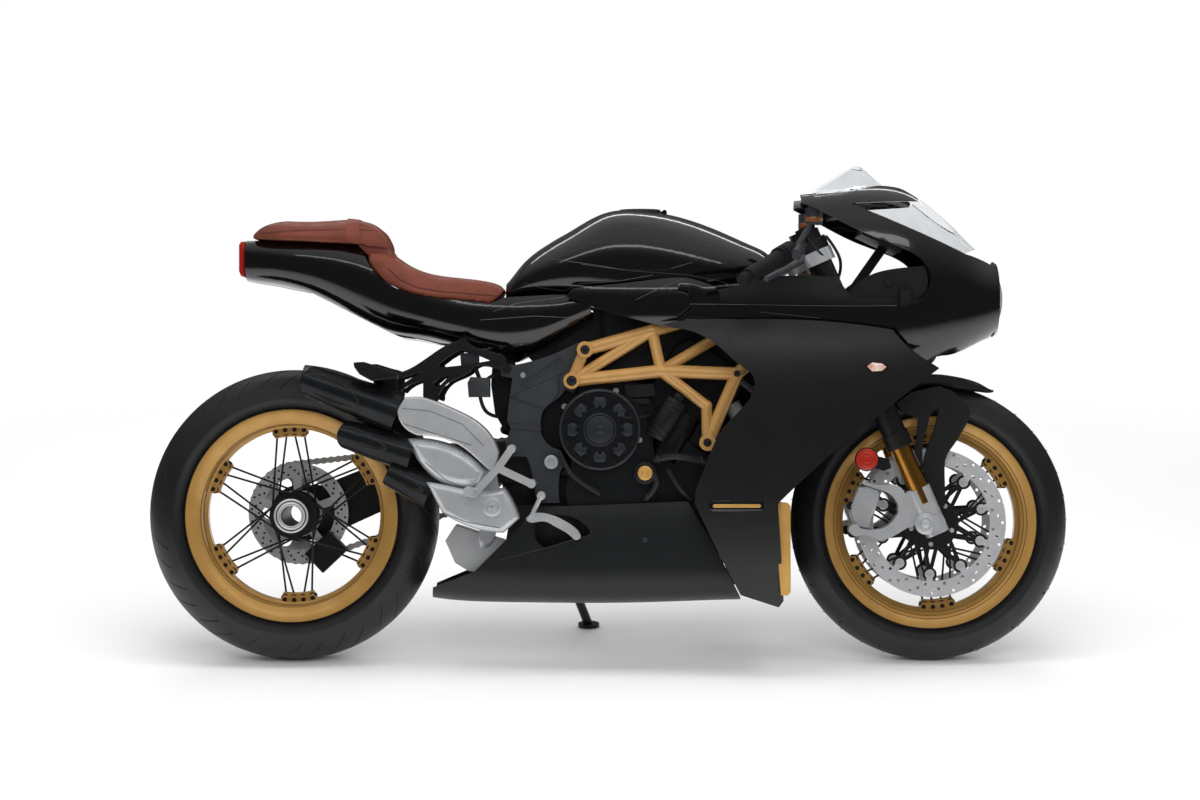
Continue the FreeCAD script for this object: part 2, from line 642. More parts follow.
def axle_lugs():
    """The fork feet with their forked caliper arms, and the axle between them."""
    y_in, y_out = lug_faces()
    y = -FORK_LEG_SPREAD
    foot = rod(on_leg(FORK_FOOT, y), on_leg(LUG_TOP, y), LUG_RADIUS)
    clamp = cylinder_across(FRONT_AXLE, LUG_RING_RADIUS, -y_out, -y_in)
    arms = slab(LUG_OUTLINE, LUG_ARM_SET_BACK - y_out, -y_in, LUG_CORNERS, -y_out)
    whole = fused([foot, clamp, arms])
    keep = Part.makeBox(FAR, y_out - y_in, FAR, V(0, -y_out, -FAR / 2))
    whole = whole.common(keep)
    whole = whole.cut(rod(on_leg(LUG_TOP - DUST_CAP_LENGTH - GAP, y), on_leg(FORK_LENGTH, y), INNER_TUBE_RADIUS + GAP))
    whole = whole.cut(slab(CALIPER_PIXELS, -CALIPER_OUTER - OVERRUN, -CALIPER_INNER + OVERRUN, CALIPER_CORNERS, y))
    whole = whole.cut(slab(LUG_SLOT, -y_out - OVERRUN, OVERRUN - y_out, None, -y_out))
    whole = biggest(whole)
    pair = [whole, mirrored(whole)]
    axle = cylinder_across(FRONT_AXLE, AXLE_RADIUS, -y_out - RIM_WALL, y_out + RIM_WALL)
    spacers = []
    for side in (-1, 1):
        near, far = side * (FRONT_HUB_HALF_WIDTH + SPACER_CLEARANCE), side * (y_in + GAP)
        spacers.append(cylinder_across(FRONT_AXLE, SPACER_RADIUS, min(near, far), max(near, far)))
        cap = side * y_out
        spacers.append(cylinder_across(FRONT_AXLE, SPACER_RADIUS, min(cap, cap + side * RIM_WALL),
                                       max(cap, cap + side * RIM_WALL)))
    return fused(pair + [axle] + spacers)


def yoke(t):
    """One fork clamp plate: a boss on the stem and a split ring round each leg."""
    low, high = t - YOKE_THICKNESS / 2, t + YOKE_THICKNESS / 2
    pieces = [rod(on_stem(low), on_stem(high), YOKE_BOSS_RADIUS)]
    corners = []
    for y, ahead in ((-FORK_LEG_SPREAD, YOKE_WEB), (-FORK_LEG_SPREAD, -YOKE_WEB), (0, -FORK_OFFSET - YOKE_WEB),
                     (FORK_LEG_SPREAD, -YOKE_WEB), (FORK_LEG_SPREAD, YOKE_WEB), (0, YOKE_WEB - FORK_OFFSET / 2)):
        corners.append(on_leg(low, y, ahead))
    pieces.append(Part.Face(Part.makePolygon(corners + [corners[0]])).extrude(STEER_UP * YOKE_THICKNESS))
    for y in (-FORK_LEG_SPREAD, FORK_LEG_SPREAD):
        pieces.append(rod(on_leg(low, y), on_leg(high, y), YOKE_CLAMP_RADIUS))
    plate = fused(pieces)
    for y in (-FORK_LEG_SPREAD, FORK_LEG_SPREAD):
        plate = plate.cut(rod(on_leg(low - OVERRUN, y), on_leg(high + OVERRUN, y), OUTER_TUBE_RADIUS + GAP))
    return plate


def yokes():
    stem = rod(on_stem(LOWER_YOKE_PLACE), on_stem(UPPER_YOKE_PLACE + YOKE_THICKNESS / 2 + CAP_HEIGHT), STEM_RADIUS)
    return fused([yoke(LOWER_YOKE_PLACE), yoke(UPPER_YOKE_PLACE), stem])


def bar_point(share):
    """A point along the right handlebar, from its clamp outwards."""
    inner = V(BAR_INNER[0], -BAR_INNER[1], BAR_INNER[2])
    outer = V(BAR_OUTER[0], -BAR_OUTER[1], BAR_OUTER[2])
    return inner + (outer - inner) * share


def handlebars():
    y = -FORK_LEG_SPREAD
    low = UPPER_YOKE_PLACE + YOKE_THICKNESS / 2 + GAP
    clamp = rod(on_leg(low, y), on_leg(low + CLIP_ON_HEIGHT, y), CLIP_ON_CLAMP_RADIUS)
    bar = rod(bar_point(BAR_SHARES[0]), bar_point(1), BAR_RADIUS)
    grip = rod(bar_point(GRIP_SHARES[0]), bar_point(GRIP_SHARES[1]), GRIP_RADIUS)
    flange = rod(bar_point(GRIP_SHARES[0]), bar_point(GRIP_SHARES[0] + FLANGE_SHARE), SWITCH_RADIUS)
    switch = rod(bar_point(SWITCH_SHARES[0]), bar_point(SWITCH_SHARES[1]), SWITCH_RADIUS)
    end = rod(bar_point(GRIP_SHARES[1]), bar_point(BAR_SHARES[1]), BAR_END_RADIUS)
    whole = fused([clamp, bar, grip, flange, switch, end])
    whole = whole.cut(rod(on_leg(0, y), on_leg(FORK_LENGTH + 2 * CAP_HEIGHT, y), OUTER_TUBE_RADIUS + GAP))
    return both(whole)


def caliper():
    """One front caliper: two halves with rounded faces, and a bridge round the disc's edge."""
    block = slab(CALIPER_PIXELS, -CALIPER_OUTER, -CALIPER_INNER, CALIPER_CORNERS, -FORK_LEG_SPREAD)
    block = rounded_edges(block, -CALIPER_OUTER, CALIPER_EDGE)
    slot = annulus(FRONT_AXLE, FRONT_DISC_RADIUS + OVERRUN, HUB_RADIUS, -FRONT_DISC_OFFSET - CALIPER_SLOT / 2,
                   -FRONT_DISC_OFFSET + CALIPER_SLOT / 2)
    return block.cut(slot)


def tyre_room():
    """The space that the front mudguard leaves round the tyre, out to the guard's side edges."""
    inner = FRONT_TYRE_RADIUS + GUARD_CLEARANCE
    half = GUARD_HALF_WIDTH

    def spot(y, r):
        return V(FRONT_AXLE.x, y, FRONT_AXLE.z + r)

    edges = [
        Part.Arc(spot(-half, inner - GUARD_DROP), spot(0, inner), spot(half, inner - GUARD_DROP)).toShape(),
        Part.makeLine(spot(half, inner - GUARD_DROP), spot(half, BEAD_RADIUS)),
        Part.makeLine(spot(half, BEAD_RADIUS), spot(-half, BEAD_RADIUS)),
        Part.makeLine(spot(-half, BEAD_RADIUS), spot(-half, inner - GUARD_DROP)),
    ]
    return turned(FRONT_AXLE, Part.__sortEdges__(edges))


def front_mudguard():
    """A beaked blade over the tyre, with an arm and two shaped struts on each side down to the fork feet."""
    y_in, y_out = lug_faces()
    band = form(GUARD_STATIONS, GUARD_HALF_WIDTH).cut(tyre_room())
    arm = slab(GUARD_ARM_PIXELS, -BLADE_OUTER, -GUARD_HALF_WIDTH * 0.7, None, -BLADE_OUTER)
    for pixels, corners in ((FRONT_BLADE_PIXELS, FRONT_BLADE_CORNERS), (REAR_BLADE_PIXELS, REAR_BLADE_CORNERS)):
        blade = slab(pixels, -BLADE_OUTER, BLADE_THICKNESS - BLADE_OUTER, corners, -BLADE_OUTER)
        arm = arm.fuse(rounded_edges(blade, -BLADE_OUTER, BLADE_EDGE))
    y = -FORK_LEG_SPREAD
    arm = arm.cut(tyre_room())
    arm = arm.cut(rod(on_leg(0, y), on_leg(FORK_LENGTH, y), OUTER_TUBE_RADIUS + GAP))
    arm = arm.cut(rod(on_leg(0, y), on_leg(OUTER_TUBE_START + DUST_CAP_LENGTH + GAP, y), DUST_CAP_RADIUS + GAP))
    foot = slab(LUG_OUTLINE, -y_out, -y_in + GAP, LUG_CORNERS, -y_out)
    arm = biggest(arm.cut(foot).cut(cylinder_across(FRONT_AXLE, LUG_RING_RADIUS + GAP, -FAR, FAR)))
    return biggest(fused([band, arm, mirrored(arm)]))


CONTROL_FORWARD = 18.0
CONTROL_RISE = 6.0
CONTROL_SHARES = (0.1, 0.38)
MASTER_RADIUS = 12.0
LEVER_RADIUS = 6.0
LEVER_SHARES = (0.3, 0.5, 1.0)
LEVER_FORWARD = (40.0, 62.0, 46.0)
POST_RADIUS = 7.0
RESERVOIR_RADIUS = 18.0
RESERVOIR_HEIGHT = 36.0
RESERVOIR_FOOT = (433.0, -114.0, 940.0)
CONTROL_CLEARANCE = 1.0


def control_levers():
    """A master cylinder, its reservoir and the lever ahead of each grip."""
    lift = V(CONTROL_FORWARD, 0, CONTROL_RISE)
    start, end = (bar_point(share) for share in CONTROL_SHARES)
    body = rod(start + lift, end + lift + V(CONTROL_FORWARD - RUNNING_GAP, 0, 0), MASTER_RADIUS)
    route = [bar_point(share) + V(ahead, 0, 0) for share, ahead in zip(LEVER_SHARES, LEVER_FORWARD)]
    lever = pipe(route, LEVER_RADIUS)
    foot = V(*RESERVOIR_FOOT)
    post = rod((start + end) / 2 + lift, foot + V(0, 0, RESERVOIR_HEIGHT / 3), POST_RADIUS)
    cup = Part.makeCylinder(RESERVOIR_RADIUS, RESERVOIR_HEIGHT, foot)
    whole = fused([body, lever, post, cup])
    keep_out = rod(bar_point(2 * BAR_SHARES[0]), bar_point(BAR_SHARES[1]), SWITCH_RADIUS + GAP)
    y = -FORK_LEG_SPREAD
    clamp_top = UPPER_YOKE_PLACE + YOKE_THICKNESS / 2 + CLIP_ON_HEIGHT + 2 * CONTROL_CLEARANCE
    clamp = rod(on_leg(UPPER_YOKE_PLACE, y), on_leg(clamp_top, y), CLIP_ON_CLAMP_RADIUS + CONTROL_CLEARANCE)
    leg = rod(on_leg(UPPER_YOKE_PLACE, y), on_leg(FORK_LENGTH + CAP_HEIGHT + CONTROL_CLEARANCE, y),
              OUTER_TUBE_RADIUS + CONTROL_CLEARANCE)
    return both(biggest(whole.cut(keep_out).cut(clamp).cut(leg)))


def reflectors():
    spot = at(REFLECTOR_PIXELS, -FORK_LEG_SPREAD)
    y = -FORK_LEG_SPREAD - REFLECTOR_THICKNESS
    disc = cylinder_across(spot, REFLECTOR_RADIUS, y - REFLECTOR_THICKNESS, y)
    hold = on_leg(OUTER_TUBE_START + DUST_CAP_LENGTH / 2, -FORK_LEG_SPREAD)
    stay = bar_between(spot, hold, REFLECTOR_RADIUS, y - REFLECTOR_THICKNESS / 2, y + REFLECTOR_THICKNESS / 2)
    leg = rod(on_leg(0, -FORK_LEG_SPREAD), on_leg(FORK_LENGTH, -FORK_LEG_SPREAD), DUST_CAP_RADIUS + GAP)
    return both(biggest(disc.fuse(stay).cut(leg)))


# Frame

NODE_A = (571.6, 380.8)
NODE_B = (585.0, 349.7)
NODE_C = (652.0, 331.0)
NODE_D = (661.0, 371.0)
NODE_E = (737.0, 374.0)
NODE_G = (706.5, 406.0)
NODE_H = (707.4, 442.6)
HEAD_JOIN_HIGH = 580.0
HEAD_JOIN_LOW = 540.0
HEAD_JOIN_SPREAD = 16.0


def frame_side(grow=0.0):
    """The right side's tubes and bosses; grow makes them thicker, as room for what seats on them."""
    rear, mid = -FRAME_REAR_SPREAD, -FRAME_MIDDLE_SPREAD
    a, b = at(NODE_A, rear), at(NODE_B, rear)
    c, d, e = at(NODE_C, mid + FRAME_BRACE_RADIUS), at(NODE_D, mid), at(NODE_E, mid)
    g, h = at(NODE_G, mid), at(NODE_H, mid)
    high, low = on_stem(HEAD_JOIN_HIGH, -HEAD_JOIN_SPREAD), on_stem(HEAD_JOIN_LOW, -HEAD_JOIN_SPREAD)
    main = [(a, d), (d, e), (b, c), (c, high), (h, e), (e, low)]
    braces = [(a, b), (a, c), (c, d), (d, g), (g, h), (d, high)]
    thick, thin = FRAME_TUBE_RADIUS + grow, FRAME_BRACE_RADIUS + grow
    pieces = [rod(p, q, thick) for p, q in main] + [rod(p, q, thin) for p, q in braces]
    pieces += [ball(p, thick * NODE_SWELL) for p in (c, d, e)] + [ball(g, thin * NODE_SWELL)]
    for spot, face in ((a, PLATE_OUTER), (b, PLATE_OUTER), (h, BLOCK_HALF_WIDTH)):
        pieces.append(cylinder_across(spot, FRAME_BOSS_RADIUS + grow, spot.y - FRAME_BOSS_LENGTH / 2 - grow,
                                      -face - GAP + grow))
    return fused(pieces)


def trellis_frame():
    """The tube frame: three-cornered sides in gold tube, and the head tube that joins them."""
    rear, side = -FRAME_REAR_SPREAD, frame_side()
    foot, top = HEAD_TUBE_ENDS
    head = rod(on_stem(foot), on_stem(top), HEAD_TUBE_RADIUS)
    cross = cylinder_across(at(NODE_B), FRAME_BRACE_RADIUS, rear, -rear)
    whole = fused([side, mirrored(side), head, cross])
    bore = rod(on_stem(foot - OVERRUN), on_stem(top + OVERRUN), STEM_RADIUS + RUNNING_GAP)
    return whole.cut(bore)


PLATE_PIXELS = [
    (500.0, 364.0), (514.0, 365.0), (552.0, 354.6), (577.6, 342.6), (590.0, 342.6), (596.0, 352.0), (583.0, 362.0),
    (583.0, 381.0), (573.0, 393.0), (565.0, 389.4), (552.0, 402.5), (544.4, 409.0), (540.6, 423.0), (541.6, 434.4),
    (546.0, 442.0), (559.4, 449.4), (562.0, 464.0), (559.8, 474.0), (559.8, 503.0), (537.0, 503.0), (535.0, 490.6),
    (530.0, 466.0), (526.6, 457.0), (506.0, 456.0), (506.0, 441.0), (510.6, 429.0), (507.0, 421.0), (509.7, 397.0),
    (512.5, 378.0), (501.0, 376.0),
]
PLATE_CORNERS = [0, 1, 3, 4, 5, 6, 7, 8, 9, 15, 16, 18, 19, 22, 23, 24, 25, 26, 28, 29]
PLATE_WEDGE_PIXELS = [(510.6, 397.0), (559.0, 375.5), (559.0, 393.0), (552.0, 402.5), (544.4, 409.0)]
PLATE_GROOVE_PIXELS = [(519.0, 385.5), (560.0, 357.0), (563.0, 362.0), (523.0, 389.5)]
PLATE_RIDGE_PIXELS = [(507.5, 420.0), (541.0, 425.5), (541.6, 431.0), (510.6, 429.0)]
PLATE_RELIEF = 3.0
PLATE_SCREW_PIXELS = (523.0, 375.0)
PLATE_SCREW_RADIUS = 11.0
LOWER_TIE_PIXELS = (548.0, 497.0)


TIE_PIXELS = (533.5, 377.0)


def frame_plates():
    """The cast plates behind the trellis, the swingarm's pivot shaft and two tie bars."""
    face = -PLATE_OUTER
    plate = slab(PLATE_PIXELS, face, -PLATE_INNER, PLATE_CORNERS)
    for relief in (PLATE_WEDGE_PIXELS, PLATE_RIDGE_PIXELS):
        plate = plate.fuse(rounded_edges(slab(relief, face - PLATE_RELIEF, face + PLATE_RELIEF, None, face),
                                         face - PLATE_RELIEF, PLATE_RELIEF))
    screw = at(PLATE_SCREW_PIXELS, face)
    plate = plate.fuse(cylinder_across(screw, PLATE_SCREW_RADIUS, face - PLATE_RELIEF, -PLATE_INNER))
    plate = plate.cut(cylinder_across(screw, PLATE_SCREW_RADIUS / 2, face - OVERRUN, face + PLATE_RELIEF))
    plate = plate.cut(slab(PLATE_GROOVE_PIXELS, face - OVERRUN, face + PLATE_RELIEF, None, face))
    pivot = at(SWINGARM_PIVOT_PIXELS)
    plate = plate.fuse(cylinder_across(pivot, PIVOT_RADIUS * 1.2, face, -PLATE_INNER))
    shaft = cylinder_across(pivot, PIVOT_RADIUS / 2, -PLATE_OUTER - RIM_WALL, PLATE_OUTER + RIM_WALL)
    upper = cylinder_across(at(TIE_PIXELS), PIVOT_RADIUS / 2, -PLATE_INNER - GAP, PLATE_INNER + GAP)
    lower = cylinder_across(at(LOWER_TIE_PIXELS), PIVOT_RADIUS / 2, -PLATE_INNER - GAP, PLATE_INNER + GAP)
    whole = fused([plate, mirrored(plate), shaft, upper, lower])
    cross = cylinder_across(at(NODE_B), FRAME_BRACE_RADIUS + GAP, -PLATE_OUTER - GAP, PLATE_OUTER + GAP)
    return whole.cut(cross)


SWINGARM_PLAN = [
    (-104.0, -86.0), (-104.0, 86.0), (-258.0, 86.0), (-288.0, 117.5), (-700.0, 117.5), (-700.0, 97.0),
    (-392.0, 97.0), (-348.0, 62.0), (-322.0, -30.0), (-300.0, -86.0),
]
SWINGARM_SIDE = [
    (-132.0, 456.0), (-200.0, 476.0), (-330.0, 470.0), (-500.0, 432.0), (-640.0, 376.0), (-690.0, 377.0),
    (-690.0, 253.0), (-640.0, 258.0), (-500.0, 322.0), (-330.0, 380.0), (-200.0, 388.0), (-132.0, 404.0),
]


def swingarm():
    """A single-sided arm: wide at the pivot, one beam on the left, and a ring that carries the hub."""
    plan = [V(x, y, 0) for x, y in SWINGARM_PLAN]
    side = [V(x, -FAR, z) for x, z in SWINGARM_SIDE]
    arm = Part.Face(Part.makePolygon(plan + [plan[0]])).extrude(V(0, 0, FAR))
    arm = arm.common(Part.Face(Part.makePolygon(side + [side[0]])).extrude(V(0, 2 * FAR, 0)))
    pivot = at(SWINGARM_PIVOT_PIXELS)
    tube = cylinder_across(pivot, PIVOT_RADIUS, -PLATE_INNER + GAP, PLATE_INNER - GAP)
    ring = cylinder_across(REAR_AXLE, HUB_CARRIER_RADIUS, HUB_CARRIER_INNER, HUB_CARRIER_OUTER)
    whole = fused([arm, tube, ring])
    whole = whole.cut(cylinder_across(REAR_AXLE, REAR_SPINDLE_RADIUS + RUNNING_GAP, -FAR, FAR))
    return whole.cut(cylinder_across(pivot, PIVOT_RADIUS / 2 + GAP, -FAR, FAR))


SHOCK_FOOT_PIXELS = (512.9, 444.0)
SHOCK_TOP_PIXELS = (533.5, 381.0)
SHOCK_RADIUS = 27.0
SHOCK_ROD_RADIUS = 14.0
SHOCK_COILS = 6
SHOCK_END_SHARE = 0.1


def shock_absorber():
    """The spring and damper as one turned shape, its coils as a row of half rounds, between two eyes."""
    foot, top = at(SHOCK_FOOT_PIXELS), at(SHOCK_TOP_PIXELS)
    length = (top - foot).Length
    start = length * SHOCK_END_SHARE
    pitch = (length - 2 * start) / SHOCK_COILS
    edges = []
    for n in range(SHOCK_COILS):
        low, high = start + n * pitch, start + (n + 1) * pitch
        edges.append(Part.Arc(V(SHOCK_RADIUS, 0, low), V(SHOCK_RADIUS + pitch / 2, 0, (low + high) / 2),
                              V(SHOCK_RADIUS, 0, high)).toShape())
    edges.append(Part.makePolygon([V(SHOCK_RADIUS, 0, length - start), V(SHOCK_ROD_RADIUS, 0, length - start),
                                   V(SHOCK_ROD_RADIUS, 0, length), V(0, 0, length), V(0, 0, 0),
                                   V(SHOCK_ROD_RADIUS, 0, 0), V(SHOCK_ROD_RADIUS, 0, start),
                                   V(SHOCK_RADIUS, 0, start)]))
    loose = [e for piece in edges for e in piece.Edges]
    body = Part.Face(Part.Wire(Part.__sortEdges__(loose))).revolve(V(0, 0, 0), V(0, 0, 1), 360)
    body.Placement = FreeCAD.Placement(foot, FreeCAD.Rotation(V(0, 0, 1), top - foot))
    tie = cylinder_across(at(TIE_PIXELS), PIVOT_RADIUS / 2 + GAP, -PLATE_INNER, PLATE_INNER)
    return biggest(body.cut(tie).cut(swingarm()))


# Engine

CASE_WIDE_PIXELS = [
    (580.0, 388.0), (600.0, 372.0), (640.0, 384.0), (660.0, 420.0), (698.0, 449.5), (704.0, 452.5), (716.0, 455.0),
    (712.0, 500.0), (695.0, 540.0), (640.0, 563.0), (580.0, 563.0),
]
CASE_NARROW_PIXELS = [
    (552.0, 386.0), (556.0, 384.0), (582.0, 384.0), (582.0, 563.0), (556.0, 563.0), (544.0, 530.0), (541.0, 500.0),
    (546.0, 484.0), (556.0, 476.8), (571.0, 476.8), (571.0, 447.0), (551.0, 447.0), (539.5, 440.0), (541.5, 423.0),
    (547.0, 405.0),
]
CASE_HALF_WIDTH = 118.0
CASE_NARROW_HALF_WIDTH = 88.0
BLOCK_PIXELS = [(637.0, 409.0), (660.0, 372.0), (724.0, 412.0), (700.0, 449.0)]
HEAD_PIXELS = [(660.1, 371.85), (675.0, 347.0), (690.0, 340.0), (735.0, 368.0), (742.0, 386.0), (724.1, 411.85)]
BLOCK_HALF_WIDTH = 108.0
HEAD_HALF_WIDTH = 86.0
CLUTCH_PIXELS = (599.3, 430.0)
CLUTCH_RADIUS = 88.0
CLUTCH_DEPTH = 34.0
CLUTCH_CENTRE_RADIUS = 37.0
CLUTCH_RECESSES = 8
RECESS_DEPTH = 6.0
GENERATOR_RADIUS = 74.0
FILLER_PIXELS = (645.0, 473.0)
FILLER_RADIUS = 19.0


def crankcase():
    """The cases: wide round the crank and clutch, narrower behind, between the frame plates."""
    wide = slab(CASE_WIDE_PIXELS, -CASE_HALF_WIDTH, CASE_HALF_WIDTH, None, 0.0)
    narrow = slab(CASE_NARROW_PIXELS, -CASE_NARROW_HALF_WIDTH, CASE_NARROW_HALF_WIDTH, None, 0.0)
    whole = fused([wide, narrow]).cut(starter_body(GAP))
    return whole.cut(cylinder_across(at(LOWER_TIE_PIXELS), PIVOT_RADIUS / 2 + GAP, -FAR, FAR))


STARTER_TOP_PIXELS = (685.3, 412.5)
STARTER_FOOT_PIXELS = (661.0, 457.0)
STARTER_RADIUS = 37.0
STARTER_SPREAD = 94.0
STARTER_RIM = 2.0
STARTER_BANDS = ((0.0, 0.1, -2.0), (0.1, 0.34, 0.0), (0.34, 0.4, 2.0), (0.4, 0.82, -1.5), (0.82, 1.0, -7.0))


def starter_body(grow=0.0):
    """The starter as a leaning can: bands of slightly different radius along its axis."""
    top = at(STARTER_TOP_PIXELS, -STARTER_SPREAD)
    foot = at(STARTER_FOOT_PIXELS, -STARTER_SPREAD)
    along = foot - top
    if grow:
        return rod(top - along * (grow / along.Length), foot + along * (grow / along.Length),
                   STARTER_RADIUS + STARTER_RIM + grow)
    return fused([rod(top + along * start, top + along * end, STARTER_RADIUS + swell)
                  for start, end, swell in STARTER_BANDS])


def cylinder_block():
    """The cylinders, leaning forward out of the cases, with room for the starter."""
    block = slab(BLOCK_PIXELS, -BLOCK_HALF_WIDTH, BLOCK_HALF_WIDTH, None, 0.0)
    case = slab(CASE_WIDE_PIXELS, -CASE_HALF_WIDTH - GAP, CASE_HALF_WIDTH + GAP, None, 0.0)
    return biggest(block.cut(case).cut(starter_body(GAP)))


def cylinder_head():
    return slab(HEAD_PIXELS, -HEAD_HALF_WIDTH, HEAD_HALF_WIDTH, None, 0.0)


RECESS_HALF_ANGLES = (9.0, 13.0)
COVER_BOSS_RISE = 3.0
COVER_SKIRT_PIXELS = [
    (562.0, 412.0), (600.0, 396.0), (636.0, 402.0), (647.5, 425.0), (652.0, 440.0), (655.0, 500.0), (625.0, 530.0),
    (580.0, 520.0), (572.0, 470.0),
]
COVER_SKIRT_CORNERS = [0, 1, 3, 5, 8]
GENERATOR_PIXELS = (640.0, 460.0)


def clutch_cover():
    """The round clutch cover: a flat cone with a raised centre and a ring of wedge recesses."""
    y = -CASE_HALF_WIDTH - GAP
    centre = at(CLUTCH_PIXELS, y - CLUTCH_DEPTH)
    centre = V(centre.x, 0, centre.z)
    face = y - CLUTCH_DEPTH
    cover = Part.makeCone(CLUTCH_RADIUS, CLUTCH_RADIUS - RECESS_DEPTH, CLUTCH_DEPTH, V(centre.x, y, centre.z),
                          ACROSS * -1)
    inner, outer = CLUTCH_CENTRE_RADIUS + 2 * RECESS_DEPTH, CLUTCH_RADIUS - 2.5 * RECESS_DEPTH
    narrow, wide = RECESS_HALF_ANGLES
    for n in range(CLUTCH_RECESSES):
        angle = (n + 0.5) * 360 / CLUTCH_RECESSES
        corners = [(inner, angle - narrow), (outer, angle - wide), (outer + RECESS_DEPTH, angle),
                   (outer, angle + wide), (inner, angle + narrow)]
        points = [around(centre, radius, turn) + V(0, face + RECESS_DEPTH / 2, 0) for radius, turn in corners]
        recess = Part.Face(Part.makePolygon(points + [points[0]])).extrude(V(0, -OVERRUN - RECESS_DEPTH, 0))
        cover = cover.cut(recess)
    return cover.fuse(cylinder_across(centre, CLUTCH_CENTRE_RADIUS, face - COVER_BOSS_RISE, y))


def engine_covers():
    """The clutch cover on the right, the generator cover and the sprocket's guard on the left."""
    y = -CASE_HALF_WIDTH - GAP
    skirt = slab(COVER_SKIRT_PIXELS, y - CLUTCH_DEPTH / 2, y, COVER_SKIRT_CORNERS)
    filler = cylinder_across(at(FILLER_PIXELS, y), FILLER_RADIUS, y - CLUTCH_DEPTH, y)
    right = biggest(fused([skirt, clutch_cover(), filler]).cut(starter_body(GAP)))
    left_centre = at(GENERATOR_PIXELS)
    generator = cylinder_across(left_centre, GENERATOR_RADIUS, -y, -y + CLUTCH_DEPTH * 0.8)
    hub = cylinder_across(left_centre, CLUTCH_CENTRE_RADIUS, -y, -y + CLUTCH_DEPTH)
    return Part.makeCompound([right, fused([generator, hub]), sprocket_cover()])


GUARD_PLATE_PIXELS = [(556.0, 440.0), (575.0, 420.0), (600.0, 425.0), (602.0, 470.0), (590.0, 490.0), (560.0, 487.0)]
GUARD_PLATE_CORNERS = [0, 2, 3, 5]
GUARD_STAY_PIXELS = [(594.0, 484.0), (594.0, 430.0)]


def sprocket_cover():
    """The guard over the front sprocket on the left."""
    centre = front_sprocket_centre()
    wall = CHAIN_LINE + CHAIN_WIDTH / 2 + OVERRUN
    pieces = [slab(GUARD_PLATE_PIXELS, wall, wall + RIM_WALL, GUARD_PLATE_CORNERS, 0.0)]
    for spot in GUARD_STAY_PIXELS:
        pieces.append(cylinder_across(at(spot), RIB_HEIGHT, CASE_HALF_WIDTH + GAP, wall + RIM_WALL / 2))
    pieces.append(sprocket(centre, FRONT_SPROCKET_TEETH, CHAIN_LINE, GAP, CHAIN_WAIST / 2).cut(drive_chain()))
    pieces.append(cylinder_across(centre, STEM_RADIUS * 0.8, CASE_NARROW_HALF_WIDTH + GAP, wall + RIM_WALL / 2))
    return fused(pieces)


AIRBOX_PIXELS = [
    (557.0, 381.3), (557.0, 346.0), (593.0, 322.0), (593.0, 309.5), (604.0, 311.5), (664.0, 327.5), (690.0, 308.5),
    (722.0, 300.5), (762.0, 291.0), (772.0, 320.0), (762.0, 350.0), (742.0, 374.0), (735.5, 366.0), (690.0, 338.5),
    (674.5, 345.5), (659.0, 370.5), (641.0, 382.5), (600.0, 369.5), (580.0, 381.3),
]
RADIATOR_PIXELS = [(753.0, 386.0), (766.0, 386.0), (777.0, 588.0), (763.0, 588.0)]
RADIATOR_HALF_WIDTH = 152.0
HEADER_RADIUS = 18.0
HEADER_SPREAD = 66.0
HEADER_PIXELS = [(730.0, 404.0), (741.0, 424.0), (742.0, 470.0), (733.0, 545.0), (700.0, 580.0), (560.0, 582.0),
                 (498.0, 566.0)]
COLLECTOR_PIXELS = [(446.0, 540.0), (455.7, 525.0), (506.0, 541.0), (508.0, 560.0), (500.0, 575.0), (469.0, 570.0),
                    (455.7, 562.0)]


AIRBOX_PLAN = [(-160.0, 87.0), (-26.0, 87.0), (-14.0, 98.0), (100.0, 98.0), (250.0, 50.0), (372.0, 24.0)]


def airbox():
    """The airbox under the tank and seat, drawn in towards the steering head between the frame tubes."""
    plan = [V(x, y, 0) for x, y in AIRBOX_PLAN] + [V(x, -y, 0) for x, y in reversed(AIRBOX_PLAN)]
    column = Part.Face(Part.makePolygon(plan + [plan[0]])).extrude(V(0, 0, FAR))
    box = slab(AIRBOX_PIXELS, -REACH, REACH, None, 0.0).common(column)
    cross = cylinder_across(at(NODE_B), FRAME_BRACE_RADIUS + GAP, -FAR, FAR)
    return biggest(box.cut(cross).cut(seat_strut(GAP)))


RADIATOR_TANK_PIXELS = [(750.0, 389.0), (768.0, 389.0), (779.0, 585.0), (761.0, 585.0)]
RADIATOR_TANK_WIDTH = 26.0
SPIGOT_ENDS = (((756.0, 410.0), 138.0), ((742.0, 398.0), 128.0))
SPIGOT_RADIUS = 14.0
RADIATOR_EAR_ENDS = (((739.0, 380.0), -143.0), ((757.0, 394.0), -140.0))
RADIATOR_EAR_RADIUS = 7.0


def radiator():
    """A leaning core between two end tanks, with a hose spigot and an ear to the frame on each side."""
    core_half = RADIATOR_HALF_WIDTH - RADIATOR_TANK_WIDTH
    core = slab(RADIATOR_PIXELS, -core_half, core_half, None, 0.0)
    tanks = [slab(RADIATOR_TANK_PIXELS, y, y + RADIATOR_TANK_WIDTH, None, 0.0)
             for y in (-RADIATOR_HALF_WIDTH, core_half)]
    spigot = rod(at(*SPIGOT_ENDS[0]), at(*SPIGOT_ENDS[1]), SPIGOT_RADIUS)
    ear = rod(at(*RADIATOR_EAR_ENDS[0]), at(*RADIATOR_EAR_ENDS[1]), RADIATOR_EAR_RADIUS)
    ear = biggest(ear.cut(frame_side(GAP)))
    return fused([core] + tanks + [spigot, ear, mirrored(ear)])


HEADER_GATHER_SHARES = (0.0, 0.0, 0.0, 0.0, 0.0, 0.3, 0.55)
HEADER_GATHER_SPREAD = -40.0
COLLECTOR_DEPTHS = (-94.0, 10.0)
COLLECTOR_MIDDLE = -60.0
LINK_ENDS = (((484.0, 548.0), -72.0), ((492.0, 514.0), -125.0))


